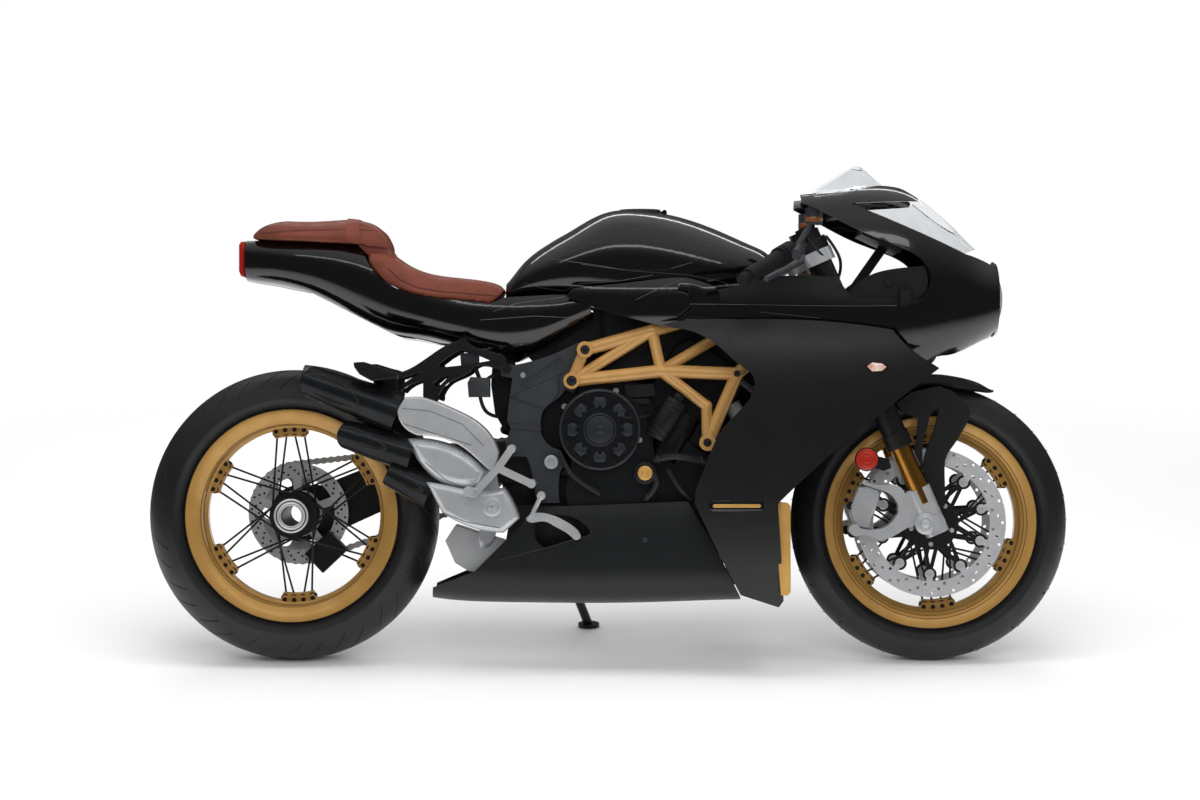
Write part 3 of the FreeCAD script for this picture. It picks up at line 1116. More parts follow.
def exhaust_headers():
    """Three header pipes from the head, down and under the engine into the collector box."""
    pipes = []
    for y in (-HEADER_SPREAD, 0.0, HEADER_SPREAD):
        points = []
        for pixels, share in zip(HEADER_PIXELS, HEADER_GATHER_SHARES):
            spot = at(pixels)
            points.append(V(spot.x, y * (1 - share) + share * HEADER_GATHER_SPREAD, spot.z))
        pipes.append(pipe(points, HEADER_RADIUS))
    box = slab(COLLECTOR_PIXELS, *COLLECTOR_DEPTHS, None, COLLECTOR_MIDDLE)
    link = rod(at(*LINK_ENDS[0]), at(*LINK_ENDS[1]), HEADER_RADIUS)
    link = link.cut(Part.makeBox(2 * FAR, FAR, FAR, V(-FAR, -FAR - SILENCER_INNER + GAP, 0)))
    return fused(pipes + [box, link]).cut(cylinder_head())


# Exhaust

SILENCER_INNER = 101.0
SILENCER_DEPTH = 92.0
SHELL_OUTLINES = [
    [(396.8, 410.0), (404.8, 397.5), (420.0, 397.0), (445.0, 405.5), (477.0, 422.0), (498.6, 453.0), (494.0, 474.0),
     (480.0, 462.0), (462.0, 447.0), (437.0, 437.0), (418.0, 435.6), (402.0, 425.0)],
    [(406.8, 438.5), (430.0, 439.5), (463.7, 451.4), (486.5, 471.4), (480.0, 486.0), (467.8, 488.0), (434.3, 479.5),
     (423.6, 469.1)],
    [(425.6, 482.0), (450.0, 486.0), (470.0, 490.0), (503.9, 487.9), (513.0, 502.6), (519.5, 518.5), (503.5, 533.0),
     (493.5, 532.5), (442.3, 513.3), (434.3, 498.6)],
]
SHELL_CORNERS = [[0, 1, 5, 6, 10], [0, 3, 4, 6], [0, 3, 5, 6, 8]]
SHELL_DEPTHS = [92.0, 84.0, 88.0]
BRIDGE_PIXELS = [(474.0, 440.0), (494.0, 462.0), (500.0, 492.0), (480.0, 500.0), (466.0, 478.0), (480.0, 466.0)]
BRIDGE_DEPTHS = (12.0, 50.0)
TIP_RUNS = [
    ((398.0, 413.0), (318.0, 384.0), 46.0),
    ((412.0, 455.0), (352.0, 436.0), 40.0),
    ((430.0, 492.0), (396.0, 476.0), 38.0),
]
TIP_WALL = 3.0
TIP_SLANT = 0.75
TIP_SLANT_SHARE = 0.2
EDGE_ROUND = 22.0


def silencer_shell():
    """Three stacked silencers on the right, each a rounded can, joined at the front."""
    cans = []
    for outline, corners, depth in zip(SHELL_OUTLINES, SHELL_CORNERS, SHELL_DEPTHS):
        can = slab(outline, -SILENCER_INNER - depth, -SILENCER_INNER, corners, -SILENCER_INNER - depth)
        cans.append(rounded_edges(can, -SILENCER_INNER - depth, EDGE_ROUND))
    outer, inner = -SILENCER_INNER - BRIDGE_DEPTHS[1], -SILENCER_INNER - BRIDGE_DEPTHS[0]
    bridge = slab(BRIDGE_PIXELS, outer, inner, None, outer)
    return fused(cans + [bridge])


EDGE_TRIAL_SHARES = (1.0, 0.6, 0.35, 0.2)


def rounded_edges(solid, y, radius):
    """The solid with the edges of its face at y rounded over, or bevelled less where they are too tight."""
    edges = [e for e in solid.Edges if abs(e.BoundBox.YMin - y) < GAP and abs(e.BoundBox.YMax - y) < GAP]
    for share in EDGE_TRIAL_SHARES:
        try:
            done = solid.makeFillet(radius * share, edges)
            if done.isValid() and done.Volume > 0:
                return done
        except Part.OCCError:
            continue
    return solid


TIP_TAPER = 0.72
TIP_RUN_ON = 1.25


def silencer_tip(index, grow=0.0):
    """One outlet's outer cone, its bore, the middle of its mouth and the way it points."""
    front, back, radius = TIP_RUNS[index]
    y = -SILENCER_INNER - SHELL_DEPTHS[index] / 2
    start, end = at(front, y), at(back, y)
    along = end - start
    length = along.Length * TIP_RUN_ON
    outer = Part.makeCone(radius + grow, radius * TIP_TAPER + grow, length, start, along)
    bore = Part.makeCone(radius - TIP_WALL, radius * TIP_TAPER - TIP_WALL, length + OVERRUN, start, along)
    along.normalize()
    return outer, bore, end + along * (radius * TIP_SLANT_SHARE), along


def silencer_tips():
    """Three tapered outlets, cut on the slant, with open bores."""
    shells = silencer_shell()
    pieces = []
    for index in range(len(TIP_RUNS)):
        outer, bore, mouth, along = silencer_tip(index)
        slant = (along + ACROSS * TIP_SLANT).normalize()
        tip = outer.cut(bore).cut(Part.makeCylinder(REACH, REACH, mouth, slant))
        pieces.append(solid_of(tip.cut(shells)))
    return Part.makeCompound(pieces)


# Bodywork

def body_skin(stations, reach, thickness):
    """A thin shell: the smooth form less the same form drawn in by the thickness."""
    return form(stations, reach).cut(form(stations, reach, thickness))


NOSE_STATIONS = [
    (676.0, 200.0, 300.0, 420.0, 0.92, 3.6, 2.2), (740.0, 196.0, 300.0, 420.0, 0.97, 3.6, 2.2),
    (796.0, 193.0, 300.0, 420.0, 0.98, 3.6, 2.2), (830.0, 190.0, 300.0, 415.0, 0.98, 3.5, 2.2),
    (862.0, 187.0, 300.0, 405.0, 0.97, 3.3, 2.2), (890.0, 187.5, 300.0, 395.0, 0.94, 3.0, 2.2),
    (921.0, 199.0, 300.0, 382.0, 0.87, 2.7, 2.2), (948.0, 224.0, 300.0, 366.0, 0.77, 2.5, 2.2),
    (972.0, 248.0, 300.0, 350.0, 0.63, 2.2, 2.2), (986.0, 258.0, 300.0, 341.0, 0.54, 2.1, 2.1),
    (995.0, 264.0, 300.0, 335.0, 0.47, 2.0, 2.0),
]
NOSE_OUTLINE = [
    (802.0, 193.0), (815.0, 191.8), (853.0, 203.0), (853.0, 203.6), (915.0, 229.3), (968.6, 252.5), (984.6, 257.0),
    (996.0, 262.0), (996.0, 337.0), (986.0, 341.0), (975.7, 346.0), (940.0, 355.0), (936.0, 362.0), (911.4, 346.0),
    (895.0, 327.5), (820.0, 318.6), (740.0, 317.4), (716.0, 316.0), (681.0, 304.8), (681.0, 303.2), (800.0, 303.4),
    (900.7, 305.8), (915.0, 303.4),
    (927.5, 291.8), (931.0, 275.7), (923.9, 261.4), (900.7, 247.1), (865.0, 232.9), (832.9, 216.8), (802.5, 201.5),
]
NOSE_CORNERS = [0, 1, 2, 3, 5, 8, 11, 13, 14, 16, 17, 18, 19, 21, 29]
BROW_OUTLINE = [
    (812.0, 190.0), (815.0, 191.5), (852.0, 202.6), (893.0, 200.5), (921.5, 199.5), (922.0, 196.0), (893.0, 176.0),
    (853.0, 180.0),
]
FRONT_SCREEN_OUTLINE = [
    (853.5, 203.2), (893.0, 201.0), (921.0, 200.0), (924.5, 197.0), (985.0, 245.0), (969.0, 252.2), (915.0, 228.9),
]
UPPER_SCREEN_OUTLINE = [(811.0, 192.5), (856.0, 165.0), (866.0, 168.0), (884.0, 184.0), (884.0, 188.0)]
UPPER_SCREEN_STATIONS = [
    (800.0, 150.0, 205.0, 225.0, 0.66, 2.4, 2.0), (832.0, 151.0, 205.0, 225.0, 0.58, 2.4, 2.0),
    (856.0, 164.0, 205.0, 225.0, 0.45, 2.3, 2.0), (870.0, 176.0, 205.0, 225.0, 0.33, 2.2, 2.0),
    (884.0, 187.0, 205.0, 225.0, 0.18, 2.0, 2.0),
]
BROW_OPENING_HALF_WIDTH = 104.0
BROW_OPENING_PIXELS = (850.0, 190.0)


def nose_shell(outline, corners, thickness, lift=0.0):
    """What a side outline cuts from the nose form's shell, right through both sides."""
    return body_skin(NOSE_STATIONS, NOSE_HALF_WIDTH + lift, thickness).common(
        slab(outline, -REACH, REACH, corners, -NOSE_HALF_WIDTH * 0.9))


NOSE_FRONT_PIXELS = [(992.0, 240.0), (999.0, 240.0), (999.0, 350.0), (992.0, 350.0)]
LAMP_HOLE_INSET = 4.0


def nose_fairing():
    """The nose: round front with the headlamp's hole, side rails that sweep up and back, and a lower band."""
    skin = nose_shell(NOSE_OUTLINE, NOSE_CORNERS, PANEL_THICKNESS)
    centre = headlight_centre()
    front = form(NOSE_STATIONS, NOSE_HALF_WIDTH).common(slab(NOSE_FRONT_PIXELS, -REACH, REACH, None, 0.0))
    hole = rod(centre - V(REACH / 2, 0, 0), centre + V(REACH / 2, 0, 0), HEADLAMP_RADIUS - LAMP_HOLE_INSET)
    return biggest(skin.fuse(front).cut(hole))


def biggest(shape):
    """The largest solid of a shape, so that slivers left by a cut are dropped."""
    return max(shape.Solids, key=lambda s: s.Volume)


def brow():
    """The band over the screen that ties the two rails."""
    band = nose_shell(BROW_OUTLINE, None, PANEL_THICKNESS)
    opening = Part.makeBox(at(BROW_OPENING_PIXELS).x + FAR, 2 * BROW_OPENING_HALF_WIDTH, FAR,
                           V(-FAR, -BROW_OPENING_HALF_WIDTH, 0))
    return band.cut(opening)


def windscreen():
    """The clear lower screen between the rails and the clear visor that stands on the brow."""
    lower = nose_shell(FRONT_SCREEN_OUTLINE, None, SCREEN_THICKNESS)
    upper = body_skin(UPPER_SCREEN_STATIONS, NOSE_HALF_WIDTH, SCREEN_THICKNESS)
    upper = upper.common(slab(UPPER_SCREEN_OUTLINE, -REACH, REACH, None, -BROW_OPENING_HALF_WIDTH * 0.6))
    upper = upper.cut(form(NOSE_STATIONS, NOSE_HALF_WIDTH + GAP, -GAP))
    return Part.makeCompound(lower.Solids + [biggest(upper)])


HEADLIGHT_PIXELS = (994.0, 299.8)
CAN_LENGTH = 86.0
CAN_INSET = 4.5
LENS_INSET = 6.0
LENS_RADIUS = 130.0
LENS_PROUD = 17.0


def headlight_centre():
    return at(HEADLIGHT_PIXELS)


def headlight():
    """A round lamp: a can behind the nose's ring and a domed lens."""
    centre = headlight_centre()
    can = rod(centre - V(CAN_LENGTH, 0, 0), centre - V(PANEL_THICKNESS, 0, 0), HEADLAMP_RADIUS - CAN_INSET)
    lens = ball(centre - V(LENS_RADIUS - LENS_PROUD, 0, 0), LENS_RADIUS)
    lens = lens.common(rod(centre - V(PANEL_THICKNESS * 2, 0, 0), centre + V(3 * LENS_PROUD, 0, 0),
                           HEADLAMP_RADIUS - LENS_INSET))
    return fused([can, lens])


SIDE_STATIONS = [
    (655.0, 262.0, 430.0, 680.0, 0.86, 2.6, 2.6), (700.0, 264.0, 430.0, 680.0, 0.95, 2.6, 2.6),
    (750.0, 266.0, 430.0, 680.0, 1.0, 2.6, 2.6), (800.0, 268.0, 430.0, 678.0, 0.985, 2.6, 2.6),
    (850.0, 270.0, 430.0, 674.0, 0.93, 2.6, 2.6), (900.0, 272.0, 430.0, 668.0, 0.84, 2.6, 2.6),
    (948.0, 276.0, 430.0, 660.0, 0.73, 2.6, 2.6),
]
SIDE_OUTLINE = [
    (662.5, 324.8), (675.0, 321.0), (709.8, 318.8), (740.0, 319.4), (820.0, 320.6), (894.5, 329.4), (911.4, 348.0),
    (935.0, 364.0), (941.5, 368.0), (820.0, 463.5), (783.0, 498.0), (777.3, 503.7), (779.2, 530.5), (784.0, 601.3),
    (779.2, 608.0), (741.0, 595.5), (712.2, 540.0), (695.0, 503.7), (695.0, 492.2), (706.5, 461.6), (723.7, 427.2),
    (746.7, 402.3), (754.3, 385.0), (752.4, 375.5), (740.9, 365.9), (723.7, 350.6), (674.0, 327.7),
]
SIDE_CORNERS = [0, 1, 3, 5, 8, 11, 13, 14, 15, 17, 18, 26]
SLOT_OUTLINE = [(710.0, 501.0), (763.0, 501.0), (763.0, 511.0), (713.0, 511.0)]
STRIP_OUTLINE = [(780.2, 503.7), (790.0, 503.7), (791.0, 592.0), (787.0, 595.5), (785.4, 595.5), (783.0, 540.0)]
BAR_OUTLINE = [(713.5, 504.2), (760.0, 504.2), (761.0, 506.0), (760.0, 508.0), (713.5, 508.0)]


SIDE_PANEL_NEAREST = 60.0
FAIRING_STAY_PIXELS = (762.0, 450.0)
BAR_BACKING_PIXELS = [(704.0, 497.0), (770.0, 497.0), (770.0, 515.0), (706.0, 515.0)]
STRIP_FLANGE_PIXELS = [(770.0, 520.0), (784.0, 520.0), (785.0, 580.0), (770.0, 580.0)]


def side_panel_form(outline, corners, thickness, inset=0.0):
    """What a side outline cuts from the side fairing's shell on the right."""
    shell = form(SIDE_STATIONS, FAIRING_HALF_WIDTH, inset).cut(form(SIDE_STATIONS, FAIRING_HALF_WIDTH,
                                                                    inset + thickness))
    piece = shell.common(slab(outline, -REACH, -SIDE_PANEL_NEAREST, corners, -FAIRING_HALF_WIDTH * 0.9))
    return biggest(piece)


def side_fairing():
    """The right side's big panel, slotted for its trim bar, on a stay from the radiator's tank."""
    panel = side_panel_form(SIDE_OUTLINE, SIDE_CORNERS, PANEL_THICKNESS)
    slot = slab(SLOT_OUTLINE, -REACH, -SIDE_PANEL_NEAREST, None, -FAIRING_HALF_WIDTH * 0.9)
    panel = biggest(panel.cut(slot))
    stay = cylinder_across(at(FAIRING_STAY_PIXELS), STAY_RADIUS, -FAIRING_HALF_WIDTH, -RADIATOR_HALF_WIDTH - GAP)
    return panel.fuse(stay.common(form(SIDE_STATIONS, FAIRING_HALF_WIDTH, PANEL_THICKNESS / 2)))


def fairing_trims():
    """The gold bar in its slot and the upright strip at the front edge, with a backing that holds the bar."""
    bar = side_panel_form(BAR_OUTLINE, None, PANEL_THICKNESS * 2, PANEL_THICKNESS / 2)
    backing = side_panel_form(BAR_BACKING_PIXELS, None, PANEL_THICKNESS, PANEL_THICKNESS + GAP)
    strip = side_panel_form(STRIP_OUTLINE, None, PANEL_THICKNESS, PANEL_THICKNESS)
    flange = side_panel_form(STRIP_FLANGE_PIXELS, None, PANEL_THICKNESS, PANEL_THICKNESS + GAP)
    return both(Part.makeCompound([fused([bar, backing]), fused([strip, flange])]))


FLANK_STATIONS = [
    (558.0, 265.0, 303.0, 348.0, 0.84, 3.0, 2.6), (590.0, 264.0, 304.0, 350.0, 0.93, 3.0, 2.6),
    (625.0, 264.0, 305.0, 350.0, 0.985, 3.0, 2.6), (665.0, 264.0, 305.0, 350.0, 1.0, 3.0, 2.6),
    (700.0, 264.0, 304.0, 350.0, 0.96, 3.0, 2.6), (726.0, 264.0, 303.0, 350.0, 0.88, 3.0, 2.6),
]
FLANK_OUTLINE = [
    (566.7, 297.0), (568.5, 292.5), (574.0, 288.0), (593.0, 286.0), (637.8, 281.5), (662.0, 278.5), (686.3, 277.6),
    (700.0, 281.0), (713.8, 286.0), (720.0, 295.5), (713.8, 308.0), (690.0, 318.0), (665.0, 326.8), (640.0, 320.5),
    (600.0, 308.8),
]
FLANK_CORNERS = [0, 2, 6, 8, 10, 12]
FLANK_HALF_WIDTH = 172.0


def side_panels():
    """The curved covers under the tank, outside the frame, each seated on the tank's flank."""
    shell = body_skin(FLANK_STATIONS, FLANK_HALF_WIDTH, PANEL_THICKNESS)
    cover = shell.common(slab(FLANK_OUTLINE, -REACH, -SIDE_PANEL_NEAREST, FLANK_CORNERS, -FLANK_HALF_WIDTH * 0.95))
    cover = cover.cut(form(TANK_STATIONS, TANK_HALF_WIDTH, -GAP)).cut(tail_form(-GAP)).cut(frame_side(GAP))
    rail = body_skin(NOSE_STATIONS, NOSE_HALF_WIDTH + GAP, PANEL_THICKNESS + 2 * GAP)
    return both(biggest(cover.cut(rail)))


BELLY_STATIONS = [
    (428.0, 470.0, 560.0, 596.0, 0.62, 2.0, 2.4), (450.0, 470.0, 560.0, 599.0, 0.72, 2.2, 2.6),
    (500.0, 460.0, 560.0, 601.0, 0.88, 2.4, 3.0), (560.0, 450.0, 560.0, 601.5, 0.98, 2.4, 3.2),
    (640.0, 440.0, 560.0, 601.0, 1.03, 2.4, 3.2), (700.0, 440.0, 560.0, 599.0, 1.05, 2.4, 3.2),
    (745.0, 440.0, 560.0, 598.0, 1.05, 2.4, 3.0),
]
BELLY_OUTLINE = [
    (688.0, 501.5), (538.0, 507.5), (526.0, 520.0), (474.0, 572.2), (431.0, 589.5), (429.0, 606.0), (744.0, 606.0),
    (741.0, 598.0), (712.0, 542.0),
]
PEDAL_WINDOW = [
    (541.0, 512.5), (560.0, 515.0), (575.0, 518.5), (585.0, 525.0), (590.0, 531.0), (587.5, 536.0), (575.0, 539.0),
    (560.0, 543.0), (546.0, 548.5), (541.0, 546.0),
]
PEDAL_WINDOW_CORNERS = [0, 4, 8]
BELLY_STAY_PIXELS = [(632.0, 548.0), (672.0, 524.0)]
STAND_SIDE = 84.0
STAND_NOTCH = [(480.0, 500.0), (600.0, 500.0), (604.0, 560.0), (590.0, 612.0), (480.0, 612.0)]


def belly_pan():
    """The pan under the engine: open above, cut away on the left for the stand and on the right for the pedal."""
    skin = body_skin(BELLY_STATIONS, BELLY_HALF_WIDTH, PANEL_THICKNESS)
    skin = skin.common(slab(BELLY_OUTLINE, -REACH, REACH, None, -BELLY_HALF_WIDTH))
    window = slab(PEDAL_WINDOW, -REACH, -SIDE_PANEL_NEAREST, PEDAL_WINDOW_CORNERS, -BELLY_HALF_WIDTH)
    pan = biggest(skin.cut(slab(STAND_NOTCH, STAND_SIDE, REACH, None, 0.0)).cut(window))
    inside = form(BELLY_STATIONS, BELLY_HALF_WIDTH, PANEL_THICKNESS / 2)
    for spot in BELLY_STAY_PIXELS:
        stay = cylinder_across(at(spot), STAY_RADIUS, -BELLY_HALF_WIDTH - OVERRUN, -CASE_HALF_WIDTH - GAP)
        stay = stay.common(inside)
        pan = pan.fuse([stay, mirrored(stay)])
    return pan


TANK_STATIONS = [
    (507.0, 284.0, 296.0, 300.0, 0.52, 2.2, 3.0), (520.0, 268.0, 286.0, 300.0, 0.66, 2.2, 3.0),
    (540.0, 250.0, 276.0, 300.0, 0.80, 2.2, 3.0), (570.0, 232.0, 268.0, 302.0, 0.93, 2.3, 3.0),
    (605.0, 213.5, 264.0, 312.0, 1.0, 2.4, 2.8), (640.0, 211.0, 264.0, 322.0, 1.0, 2.4, 2.6),
    (675.0, 216.5, 268.0, 318.0, 0.97, 2.3, 2.6), (718.0, 231.0, 274.0, 302.0, 0.84, 2.2, 2.6),
    (752.0, 246.0, 276.0, 296.0, 0.66, 2.2, 2.6), (768.0, 255.0, 274.0, 290.0, 0.5, 2.1, 2.4),
]
TANK_FOOT = [
    (500.0, 299.4), (564.6, 296.0), (592.0, 307.2), (664.0, 325.0), (686.0, 306.5), (721.0, 298.0), (762.0, 289.0),
    (790.0, 262.0), (790.0, 190.0), (500.0, 190.0),
]
CAP_PIXELS = (640.0, 210.5)
CAP_RADIUS_OUTER = 44.0
CAP_HEIGHT_OUTER = 12.0
CAP_SEAT_PIXELS = (640.0, 215.5)
CAP_SEAT_DEPTH = 6.0
CAP_OPEN_HEIGHT = 60.0
CAP_CLEARANCE = 2.0
HINGE_PIN_RADIUS = 2.0
HINGE_PIN_HALF_LENGTH = 24.0
HINGE_CHEEK_RADIUS = 5.0
HINGE_CHEEK_DEPTH = 24.0
HINGE_AHEAD = 9.0
HINGE_RISE = 6.0
HINGE_POCKET_LENGTH = 26.0
HINGE_POCKET_HALF_WIDTH = 18.0
KNUCKLE_RADIUS = 5.0
KNUCKLE_HALF_LENGTH = 12.0
TONGUE_LENGTH = 14.0
TONGUE_HALF_WIDTH = 9.0
TONGUE_THICKNESS = 6.0
TONGUE_RISE = 3.0
TONGUE_OVERLAP = 4.0


def cap_frame():
    """Where the fuel cap sits: its centre and the way it faces."""
    return V(at(CAP_PIXELS).x, 0, at(CAP_SEAT_PIXELS).z), V(0, 0, 1)


def tank_form():
    return form(TANK_STATIONS, TANK_HALF_WIDTH)


def fuel_tank():
    """The tank: a domed form with a waist for the knees, cut to its foot line, with a seat for the cap."""
    body = tank_form().common(slab(TANK_FOOT, -REACH, REACH, None, 0.0))
    spot, up = cap_frame()
    pocket = rod(spot - up * CAP_SEAT_DEPTH, spot + up * CAP_OPEN_HEIGHT, CAP_RADIUS_OUTER + CAP_CLEARANCE)
    corner = spot + V(CAP_RADIUS_OUTER - TONGUE_OVERLAP, -HINGE_POCKET_HALF_WIDTH, -CAP_SEAT_DEPTH)
    hinge = Part.makeBox(HINGE_POCKET_LENGTH, 2 * HINGE_POCKET_HALF_WIDTH, CAP_OPEN_HEIGHT, corner)
    pin = cylinder_across(hinge_centre(), HINGE_PIN_RADIUS, -HINGE_PIN_HALF_LENGTH, HINGE_PIN_HALF_LENGTH)
    cheeks = []
    for y in (HINGE_POCKET_HALF_WIDTH, -HINGE_PIN_HALF_LENGTH):
        far = y + HINGE_PIN_HALF_LENGTH - HINGE_POCKET_HALF_WIDTH
        foot = hinge_centre() - V(0, 0, HINGE_CHEEK_DEPTH)
        cheeks.append(cylinder_across(hinge_centre(), HINGE_CHEEK_RADIUS, y, far))
        cheeks.append(bar_between(hinge_centre(), foot, 2 * HINGE_CHEEK_RADIUS, y, far))
    return fused([biggest(body.cut(pocket).cut(hinge)), pin] + cheeks)


def hinge_centre():
    spot, up = cap_frame()
    return spot + V(CAP_RADIUS_OUTER + HINGE_AHEAD, 0, HINGE_RISE)


def fuel_cap():
    """The round filler cap on its hinge at the front edge."""
    spot, up = cap_frame()
    disc = rod(spot - up * CAP_CLEARANCE, spot + up * CAP_HEIGHT_OUTER, CAP_RADIUS_OUTER)
    knuckle = cylinder_across(hinge_centre(), KNUCKLE_RADIUS, -KNUCKLE_HALF_LENGTH, KNUCKLE_HALF_LENGTH)
    tongue = Part.makeBox(TONGUE_LENGTH, 2 * TONGUE_HALF_WIDTH, TONGUE_THICKNESS,
                          spot + V(CAP_RADIUS_OUTER - TONGUE_OVERLAP, -TONGUE_HALF_WIDTH, TONGUE_RISE))
    bore = cylinder_across(hinge_centre(), HINGE_PIN_RADIUS + RUNNING_GAP, -FAR, FAR)
    return fused([disc, knuckle, tongue]).cut(bore)


TAIL_STATIONS = [
    (244.0, 241.0, 260.0, 280.0, 0.46, 3.0, 2.6), (262.0, 240.0, 260.0, 284.0, 0.6, 3.0, 2.6),
    (300.0, 241.0, 264.0, 292.0, 0.78, 3.0, 2.6), (350.0, 244.0, 274.0, 316.0, 0.93, 3.0, 2.6),
    (400.0, 262.0, 296.0, 338.0, 1.0, 3.0, 2.6), (450.0, 280.0, 314.0, 348.0, 1.04, 3.0, 2.6),
    (500.0, 286.0, 320.0, 362.0, 1.1, 3.0, 2.6), (545.0, 286.0, 318.0, 354.0, 1.18, 3.0, 2.6),
    (592.0, 288.0, 306.0, 326.0, 1.24, 3.0, 2.6),
]
TAIL_OUTLINE = [
    (248.0, 241.8), (269.0, 241.8), (364.9, 246.9), (371.0, 263.3), (383.3, 279.6), (403.7, 291.8), (434.3, 299.5),
    (491.4, 305.5), (506.0, 299.25), (564.6, 296.15), (591.0, 306.95), (591.0, 319.0), (540.0, 351.0), (516.0, 363.3),
    (485.3, 352.0), (448.6, 345.9), (413.9, 342.9), (397.6, 335.7), (342.4, 308.2), (311.8, 292.9), (248.0, 281.6),
]
TAIL_CORNERS = [0, 1, 2, 7, 8, 9, 10, 11, 13, 16, 19, 20]
STRUT_TOP_PIXELS = (585.0, 312.0)
STRUT_WIDTH = 24.0
STRUT_HALF_DEPTH = 20.0
LIGHT_OUTLINE = [(241.4, 246.0), (243.5, 242.6), (247.6, 242.6), (247.6, 278.0), (243.5, 277.0), (241.4, 272.0)]


def tail_form(shrink=0.0):
    return form(TAIL_STATIONS, TAIL_HALF_WIDTH, shrink)


def seat_strut(grow=0.0):
    """The strut under the seat unit, down to the frame's cross tube."""
    return bar_between(at(STRUT_TOP_PIXELS), at(NODE_B), STRUT_WIDTH + 2 * grow, -STRUT_HALF_DEPTH - grow,
                       STRUT_HALF_DEPTH + grow)


def tail_body():
    """The seat unit: a solid tail that sweeps down and widens into the side panels under the tank."""
    body = tail_form().common(slab(TAIL_OUTLINE, -REACH, REACH, TAIL_CORNERS, 0.0))
    body = body.fuse(seat_strut())
    body = body.cut(cylinder_across(at(NODE_B), FRAME_BRACE_RADIUS + GAP, -FAR, FAR))
    plates = slab(PLATE_PIXELS, -PLATE_OUTER - GAP, -PLATE_INNER + GAP, PLATE_CORNERS, -PLATE_OUTER)
    return biggest(body.cut(plates).cut(mirrored(plates)))


LIGHT_HALF_WIDTH = 48.0
LIGHT_EDGE = 8.0


def tail_light():
    lens = slab(LIGHT_OUTLINE, -LIGHT_HALF_WIDTH, LIGHT_HALF_WIDTH, None, 0.0)
    return rounded_edges(rounded_edges(lens, -LIGHT_HALF_WIDTH, LIGHT_EDGE), LIGHT_HALF_WIDTH, LIGHT_EDGE)


RIDER_SEAT_OUTLINE = [
    (371.6, 249.0), (383.0, 250.9), (393.2, 254.9), (406.0, 264.0), (424.0, 273.0), (470.0, 280.5), (499.6, 285.7), (505.0, 291.8),
    (500.0, 299.2), (491.2, 305.2), (434.3, 299.2), (403.9, 291.5), (383.6, 279.3), (371.4, 263.0),
]
RIDER_SEAT_CORNERS = [0, 2, 6, 9, 13]
PILLION_PAD_OUTLINE = [
    (255.7, 240.4), (258.5, 232.5), (266.5, 226.3), (350.6, 221.0), (377.5, 225.0), (390.0, 238.5), (393.0, 254.0),
    (383.3, 250.0), (371.5, 248.6), (366.0, 246.75), (300.0, 243.25), (269.0, 241.65),
]
PILLION_PAD_CORNERS = [0, 2, 4, 6, 9, 11]


RIDER_SEAT_STATIONS = [
    (366.0, 247.0, 280.0, 320.0, 0.86, 6.0, 4.0), (380.0, 250.0, 290.0, 330.0, 0.9, 6.0, 4.0),
    (393.5, 255.4, 300.0, 340.0, 0.95, 6.0, 4.0), (406.0, 264.4, 303.0, 342.0, 0.98, 6.0, 4.0),
    (424.0, 273.5, 306.0, 345.0, 1.0, 6.0, 4.0),
    (470.0, 281.0, 312.0, 350.0, 1.0, 6.0, 4.0), (499.0, 286.0, 312.0, 350.0, 0.9, 6.0, 4.0),
    (508.0, 292.0, 314.0, 350.0, 0.84, 6.0, 4.0),
]
PILLION_PAD_STATIONS = [
    (254.0, 238.0, 252.0, 270.0, 0.76, 4.0, 4.0), (260.0, 231.5, 250.0, 270.0, 0.82, 4.0, 4.0),
    (267.0, 226.8, 248.0, 270.0, 0.88, 4.0, 4.0), (300.0, 223.6, 248.0, 274.0, 0.97, 4.0, 4.0),
    (350.6, 221.6, 250.0, 276.0, 1.0, 4.0, 4.0), (377.0, 225.5, 254.0, 280.0, 0.98, 4.0, 4.0),
    (389.4, 238.8, 262.0, 286.0, 0.94, 4.0, 4.0), (395.0, 250.0, 268.0, 290.0, 0.9, 4.0, 4.0),
]


def cushion(outline, corners, stations, half_width):
    """A cushion: a form rounded across, cut to its side outline."""
    return biggest(form(stations, half_width).common(slab(outline, -REACH, REACH, corners, 0.0)))


def rider_seat():
    return cushion(RIDER_SEAT_OUTLINE, RIDER_SEAT_CORNERS, RIDER_SEAT_STATIONS, SEAT_HALF_WIDTH)


def pillion_pad():
    return cushion(PILLION_PAD_OUTLINE, PILLION_PAD_CORNERS, PILLION_PAD_STATIONS, PAD_HALF_WIDTH)


DASH_PIXELS = [(862.0, 226.0), (902.0, 246.0), (896.0, 254.0), (858.0, 236.0)]
DASH_HALF_WIDTH = 86.0
DASH_POST_ENDS = ((884.0, 246.0), (846.0, 300.0))
DASH_POST_WIDTH = 20.0
DASH_POST_HALF_DEPTH = 10.0
LAMP_STAY_ENDS = ((838.0, 296.0), (953.0, 296.0))
LAMP_STAY_WIDTH = 26.0
LAMP_STAY_HALF_DEPTH = 14.0


def instrument_panel():
    """The dash behind the screen, on a post down to the lamp's stay."""
    dash = slab(DASH_PIXELS, -DASH_HALF_WIDTH, DASH_HALF_WIDTH, None, 0.0)
    post = bar_between(at(DASH_POST_ENDS[0]), at(DASH_POST_ENDS[1]), DASH_POST_WIDTH, -DASH_POST_HALF_DEPTH,
                       DASH_POST_HALF_DEPTH)
    seat = at(LAMP_STAY_ENDS[0]).z
    stay = Part.makeBox(FAR, FAR, LAMP_STAY_WIDTH / 2 + GAP, V(0, -FAR / 2, seat))
    below = Part.makeBox(FAR, FAR, seat, V(0, -FAR / 2, 0))
    return fused([dash, post]).cut(stay).cut(below)


